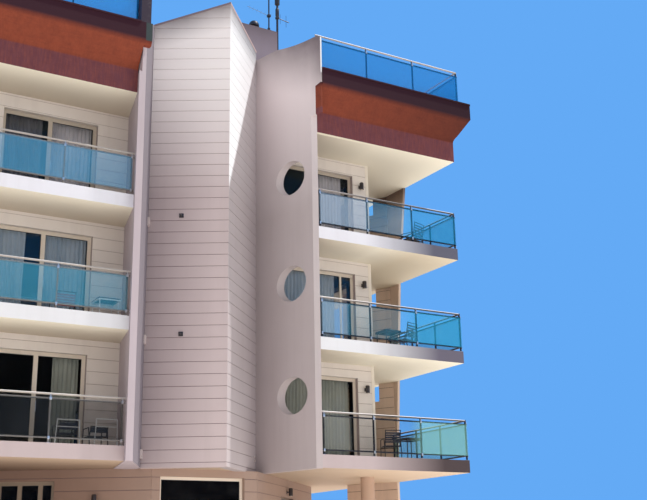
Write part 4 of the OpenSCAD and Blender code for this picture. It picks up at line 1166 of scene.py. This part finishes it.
def fascia_trims():
    """A dark coping strip along the top of the fascia."""
    bm = bmesh.new()
    rear_y = DEPTH - FASCIA_Y
    for start, end in (((0.0, FASCIA_Y), (LEFT_W - ROOF_POST_IN, FASCIA_Y)),
                       ((fin_left(FASCIA_Y) + FIN_HEAD_T, FASCIA_Y), (FASCIA_X, FASCIA_Y)),
                       ((FASCIA_X, FASCIA_Y), (FASCIA_X, rear_y)), ((FASCIA_X, rear_y), (0.0, rear_y))):
        wall = Wall(start, end)
        block(bm, wall.place(0, FASCIA_TOP), (0.0, -0.022, -0.035), (wall.length, 0.135, 0.014), 0.004)
    piece("coping", bm, fascia_sheet)


def wall_lamp(bm, glow, place):
    """A small round lamp that throws light up and down: a bracket and a short upright barrel."""
    block(bm, place, (-0.035, -BOARD_T - 0.012, -0.05), (0.035, 0.0, 0.05), 0.004)
    block(bm, place, (-0.015, -0.09, -0.015), (0.015, -0.01, 0.015), 0.003)
    barrel = place @ Matrix.Translation((0, -0.13, -0.11))
    turned(bm, barrel, ((0.045, 0.0), (0.060, 0.004), (0.062, 0.20), (0.048, 0.22)), 20)
    turned(glow, barrel, ((0.040, -0.006), (0.042, 0.002)), 20)


def spout(bm, place):
    """A short rain spout: a pipe that leans down from a plate."""
    block(bm, place, (-0.06, -BOARD_T - 0.010, -0.06), (0.06, 0.0, 0.06), 0.004)
    tube(bm, place, ((0, 0, 0), (0, -0.14, -0.02), (0, -0.20, -0.05)), 0.026, 12)


def small_fittings():
    lamps, glow, spouts, boxes = new_meshes(4)
    lamp_places = [(wall, x, y, LEVEL[n] + LAMP_Z) for n in STOREYS for wall, x, y in (
        (front_right, LAMP_X, DOOR_WALL_Y), (front_left, LEFT_W - BAY_W, DOOR_WALL_Y),
        (front_left, LEFT_W - 2 * BAY_W, DOOR_WALL_Y), (side, SIDE_X, (DOOR_WALL_Y + DEPTH) / 2))]
    for wall, x, y, z in (*lamp_places, *PORCH_LAMPS):
        wall_lamp(lamps, glow, wall.place(wall.reach((x, y)), z))
    for s, z in SPOUTS:
        spout(spouts, tower_left.place(s, z))
    for s, z in FIN_BOXES:
        block(boxes, fin_side.place(s, z), (-0.09, -0.05, -0.11), (0.09, 0.002, 0.11), 0.006)
    for s, z in TOWER_BOXES:
        block(boxes, tower_right.place(s, z), (-0.03, -BOARD_T - 0.03, -0.03), (0.03, 0.0, 0.03), 0.005)
    piece("wall_lamps", lamps, dark_metal, 40)
    piece("lamp_glasses", glow, cream, 40)
    piece("rain_spouts", spouts, dark_metal, 40)
    piece("junction_boxes", boxes, render_finish("box_paint", (206, 190, 188)))


def aerial(bm, place, start, end, rods, length, across, radius):
    """A boom with short rods across it."""
    start, end = Vector(start), Vector(end)
    tube(bm, place, (start, end), radius)
    for i in range(rods):
        p = start.lerp(end, (i + 0.5) / rods)
        half = across * (length * (0.7 + 0.3 * i / rods) / 2)
        tube(bm, place, (p - half, p + half), radius / 2.5, 6)


def antennas():
    """What hangs on the masts: two amplifier housings, two aerials, their joints and the foot plates."""
    bm, pale = new_meshes(2)
    strong = (CABIN_RIGHT + MAST_D / 2 + MAST_GAP, CABIN_FRONT + MAST_BACK)
    thin = (CABIN_RIGHT - THIN_MAST_IN, CABIN_FRONT + MAST_BACK)
    pale_joint, dark_joint = stand(*thin, PALE_AERIAL_Z), stand(*strong, DARK_AERIAL_Z)
    for z, r in AMPLIFIERS:
        turned(bm, stand(*strong, z), ((0.04, 0.0), (r, 0.03), (r, 0.27), (0.04, 0.30)), 16)
    aerial(pale, pale_joint, (0.06, 0, -0.01), (-0.74, 0.05, 0.17), 6, 0.24,
           Vector((0.3, 0.95, 0)).normalized(), 0.007)
    aerial(bm, dark_joint, (0, 0, 0), (0.40, -0.05, -0.09), 2, 0.50, Vector((0, 0, 1)), 0.013)
    for joint in (pale_joint, dark_joint):
        block(bm, joint, (-0.05, -0.05, -0.04), (0.05, 0.05, 0.04), 0.006)
    for mast, z in ((thin, CABIN_TOP), (strong, DECK_Z)):
        turned(bm, stand(*mast, z - 0.001), ((0.08, 0.0), (0.08, 0.012), (0.045, 0.02), (0.045, 0.10)), 16)
    for z in MAST_CLIPS_Z:
        block(bm, stand(*strong, z), (-MAST_D / 2 - MAST_GAP - 0.002, -0.045, -0.02), (0.045, 0.045, 0.02),
              0.004)
    piece("aerials", bm, dark_metal, 40)
    piece("pale_aerial", pale, metal_finish("dull_alloy", (128, 150, 176), 0.6, 0.2), 40)


def roof_vent():
    """A dome vent on a short flue on the cabin roof, with a small block beside it."""
    vent, beside = new_meshes(2)
    r = 0.17
    profile = [(0.11, 0.0), (0.11, 0.36), (r, 0.38)]
    arc = [math.radians(a) for a in (10, 30, 45, 60, 75, 88)]
    profile += [(r * math.cos(a), 0.40 + r * math.sin(a)) for a in arc]
    turned(vent, stand(*VENT, CABIN_TOP - 0.01), profile, 28)
    block(beside, stand(*VENT_BLOCK, CABIN_TOP - 0.01), (-0.12, -0.12, 0.0), (0.12, 0.12, 0.42), 0.01)
    piece("roof_vent", vent, dark_metal, 35)
    piece("vent_block", beside, render_finish("vent_paint", (206, 178, 174)))


# Chairs and tables that show through the rails

TUBE_R, CHAIR_HALF_D = 0.013, 0.23
SLATS, BACK_SLATS = 9, 5
HOOP_Y = 0.35

# Hoops of the first storey: place along the front, width and height
HOOPS = ((9.44, 0.52, 0.585), (10.36, 0.50, 0.64))

# Chairs: place in plan, storey, width, height, turn and height of the seat. The red seat comes first
CHAIRS = ((9.26, 0.75, 2, 0.50, 0.54, 180, 0.12), (9.50, 0.80, 1, 0.46, 0.56, 180, 0.30),
          (10.24, 0.80, 1, 0.46, 0.48, 180, 0.26), (20.00, 1.10, 3, 0.54, 0.92, 200, 0.42),
          (19.62, 1.15, 2, 0.52, 0.90, 200, 0.42), (18.95, 1.10, 1, 0.48, 0.84, 160, 0.42))

# Tables: place in plan, storey, width, depth and height. The white one comes first
TABLES = ((10.34, 0.75, 2, 0.56, 0.60, 0.50), (19.00, 1.10, 2, 0.55, 0.55, 0.62),
          (19.62, 1.15, 1, 0.55, 0.55, 0.66))


def chair(frames, seats, x, y, n, w, h, turn, seat):
    """A tube frame chair: two side loops, a seat and a back. It looks along its own -y."""
    place = stand(x, y, LEVEL[n]) @ Matrix.Rotation(math.radians(turn), 4, "Z")
    half, arm, inner = CHAIR_HALF_D, seat + 0.20, w / 2 - 0.02
    for sx in (-w / 2, w / 2):
        tube(frames, place, ((sx, -half, TUBE_R), (sx, 0.03 - half, arm), (sx, half - 0.05, arm),
                             (sx * 0.96, half + 0.05, TUBE_R)), TUBE_R)
        tube(frames, place, ((sx * 0.9, half - 0.04, seat), (sx * 0.9, half + 0.06, h)), TUBE_R)
    for y0, z0 in ((0.02 - half, seat - 0.02), (half - 0.03, seat - 0.02), (half + 0.06, h)):
        tube(frames, place, ((-w / 2 * 0.95, y0, z0), (w / 2 * 0.95, y0, z0)), TUBE_R)
    for i in range(SLATS):
        y0 = 0.02 - half + (2 * half - 0.06) * i / SLATS
        block(seats, place, (-inner, y0, seat), (inner, y0 + 0.036, seat + 0.014), 0.003)
    for i in range(BACK_SLATS):
        z0 = seat + 0.08 + (h - seat - 0.12) * i / BACK_SLATS
        y0 = half - 0.03 + 0.10 * (z0 - seat) / (h - seat)
        block(seats, place, (-inner, y0, z0), (inner, y0 + 0.014, z0 + 0.045), 0.003)


def back_frame(bm, x, w, h):
    """The free-standing hoop of a bench or stool that shows white through the rail."""
    place = stand(x, HOOP_Y, LEVEL[1])
    hoop = ((-w / 2 - 0.04, 0, 0.014), (-w / 2, 0, h), (w / 2, 0, h), (w / 2 + 0.02, 0, 0.014))
    tube(bm, place, hoop, TUBE_R)
    tube(bm, place, ((-w / 2, 0, h * 0.72), (w / 2, 0, h * 0.72)), 0.010)


def small_table(frames, tops, x, y, n, w, d, h):
    place = stand(x, y, LEVEL[n])
    for leg_x in (0.04 - w / 2, w / 2 - 0.04):
        for leg_y in (0.04 - d / 2, d / 2 - 0.04):
            tube(frames, place, ((leg_x, leg_y, 0.002), (leg_x, leg_y, h - 0.02)), 0.014)
    ring(frames, place @ Matrix.Translation((0, 0, h - 0.02)) @ Matrix.Rotation(math.radians(-90), 4, "X"),
         (-w / 2, w / 2, -d / 2, d / 2), 0.03, 0.0, 0.03)
    x1, y1 = w / 2 - 0.005, d / 2 - 0.005
    block(tops, place, (-x1, -y1, h - 0.012), (x1, y1, h + 0.010), 0.004)


def furniture():
    white, dark, red, dark_seats = new_meshes(4)
    for hoop in HOOPS:
        back_frame(white, *hoop)
    for i, values in enumerate(CHAIRS):
        chair(dark, dark_seats if i else red, *values)
    for i, values in enumerate(TABLES):
        small_table(dark if i else white, dark_seats, *values)
    white_tube = metal_finish("white_tube", (244, 243, 242), 0.4, 0.0, (220, 216, 212))
    piece("white_chair_frames", white, white_tube, 40)
    piece("dark_chair_frames", dark, dark_metal, 40)
    piece("red_seats", red, metal_finish("red_slats", (150, 80, 84), 0.6, 0.0))
    piece("dark_seats", dark_seats, metal_finish("dark_slats", (58, 60, 70), 0.6, 0.0))


# Camera, floor and light

SUN_AZIMUTH, SUN_HEIGHT, SUN_SPREAD, SUN_POWER = 75.0, 62.5, 1.5, 2.7
SUN_COLOUR, CARD_COLOUR = (1.0, 0.985, 0.96), (1.0, 0.975, 0.94)
CARD_SIZE, CARD_GAP, CARD_Z, CARD_GLOW = (26.0, 5.0), 0.3, 0.1, 0.71
SKY_COLOUR, SKY_GLOW = (0.93, 0.965, 1.0, 1.0), 0.65
FLOOR_REACH, CAMERA_REACH = 220, 500


def place_camera():
    yaw, pitch, roll = (math.radians(a) for a in (CAMERA_YAW, CAMERA_PITCH, CAMERA_ROLL))
    ahead = Vector((math.sin(yaw) * math.cos(pitch), math.cos(yaw) * math.cos(pitch), math.sin(pitch)))
    camera = add_object("camera", bpy.data.cameras.new("camera"))
    camera.data.lens = CAMERA_LENS_MM
    camera.data.sensor_width = SENSOR_MM
    camera.data.sensor_fit = "HORIZONTAL"
    camera.data.clip_end = CAMERA_REACH
    camera.matrix_world = (Matrix.Translation(CAMERA_AT) @ ahead.to_track_quat("-Z", "Y").to_matrix().to_4x4()
                           @ Matrix.Rotation(roll, 4, "Z"))
    bpy.context.scene.camera = camera


def lay_floor():
    mesh = bpy.data.meshes.new("floor")
    corners = [(FLOOR_REACH * x, FLOOR_REACH * y, 0) for x, y in ((-1, -1), (1, -1), (1, 1), (-1, 1))]
    mesh.from_pydata(corners, [], [(0, 1, 2, 3)])
    finish = Finish("floor_paint", (246, 241, 235), 0.9)
    finish.patches(finish.noise(0.3, 3.0), 0.3, 0.7, 0.15, (232, 227, 220))
    mesh.materials.append(finish.done())
    floor = add_object("floor", mesh)


def light():
    """A soft sun, an even sky and a card that lights the soffits from the ground before the balconies.

    The sky that is seen or reflected is blue.
    """
    sun = add_object("sun", bpy.data.lights.new("sun", "SUN"))
    sun.data.energy = SUN_POWER
    sun.data.angle = math.radians(SUN_SPREAD)
    sun.data.color = SUN_COLOUR
    azimuth, height = math.radians(SUN_AZIMUTH), math.radians(SUN_HEIGHT)
    flat = math.cos(height)
    towards = Vector((math.sin(azimuth) * flat, -math.cos(azimuth) * flat, math.sin(height)))
    sun.rotation_euler = towards.to_track_quat("Z", "Y").to_euler()
    card = add_object("card", bpy.data.lights.new("card", "AREA"))
    card.data.shape = "RECTANGLE"
    card.data.size, card.data.size_y = CARD_SIZE
    card.data.energy = CARD_GLOW * math.pi * CARD_SIZE[0] * CARD_SIZE[1]
    card.data.color = CARD_COLOUR
    card.location = at(LEFT_W, -CARD_SIZE[1] / 2 - CARD_GAP, CARD_Z)
    card.rotation_euler = (math.pi, 0, 0)
    card.visible_camera = card.visible_glossy = card.visible_transmission = False
    world = bpy.data.worlds.new("world")
    bpy.context.scene.world = world
    world.use_nodes = True
    tree = world.node_tree
    even = tree.nodes["Background"]
    plug(tree, even.inputs["Color"], SKY_COLOUR)
    plug(tree, even.inputs["Strength"], SKY_GLOW)
    seen = add_node(tree, "ShaderNodeBackground", {"Color": srgb(SEEN_SKY), "Strength": 1.0})
    path = tree.nodes.new("ShaderNodeLightPath")
    sees = path.outputs["Is Camera Ray"]
    for ray in ("Is Glossy Ray", "Is Transmission Ray"):
        either = add_node(tree, "ShaderNodeMath", {0: sees, 1: path.outputs[ray]}, operation="MAXIMUM")
        sees = either.outputs[0]
    mix = add_node(tree, "ShaderNodeMixShader", {0: sees, 1: even.outputs[0], 2: seen.outputs[0]})
    plug(tree, tree.nodes["World Output"].inputs["Surface"], mix.outputs[0])
    bpy.context.scene.view_settings.view_transform = "Standard"


place_camera()
lay_floor()
light()
paint_all()
tower_boards()
storey_boards()
ground_boards()
screen_boards()
door_details()
window_details()
curtains()
rails()
fascia_trims()
small_fittings()
antennas()
roof_vent()
furniture()
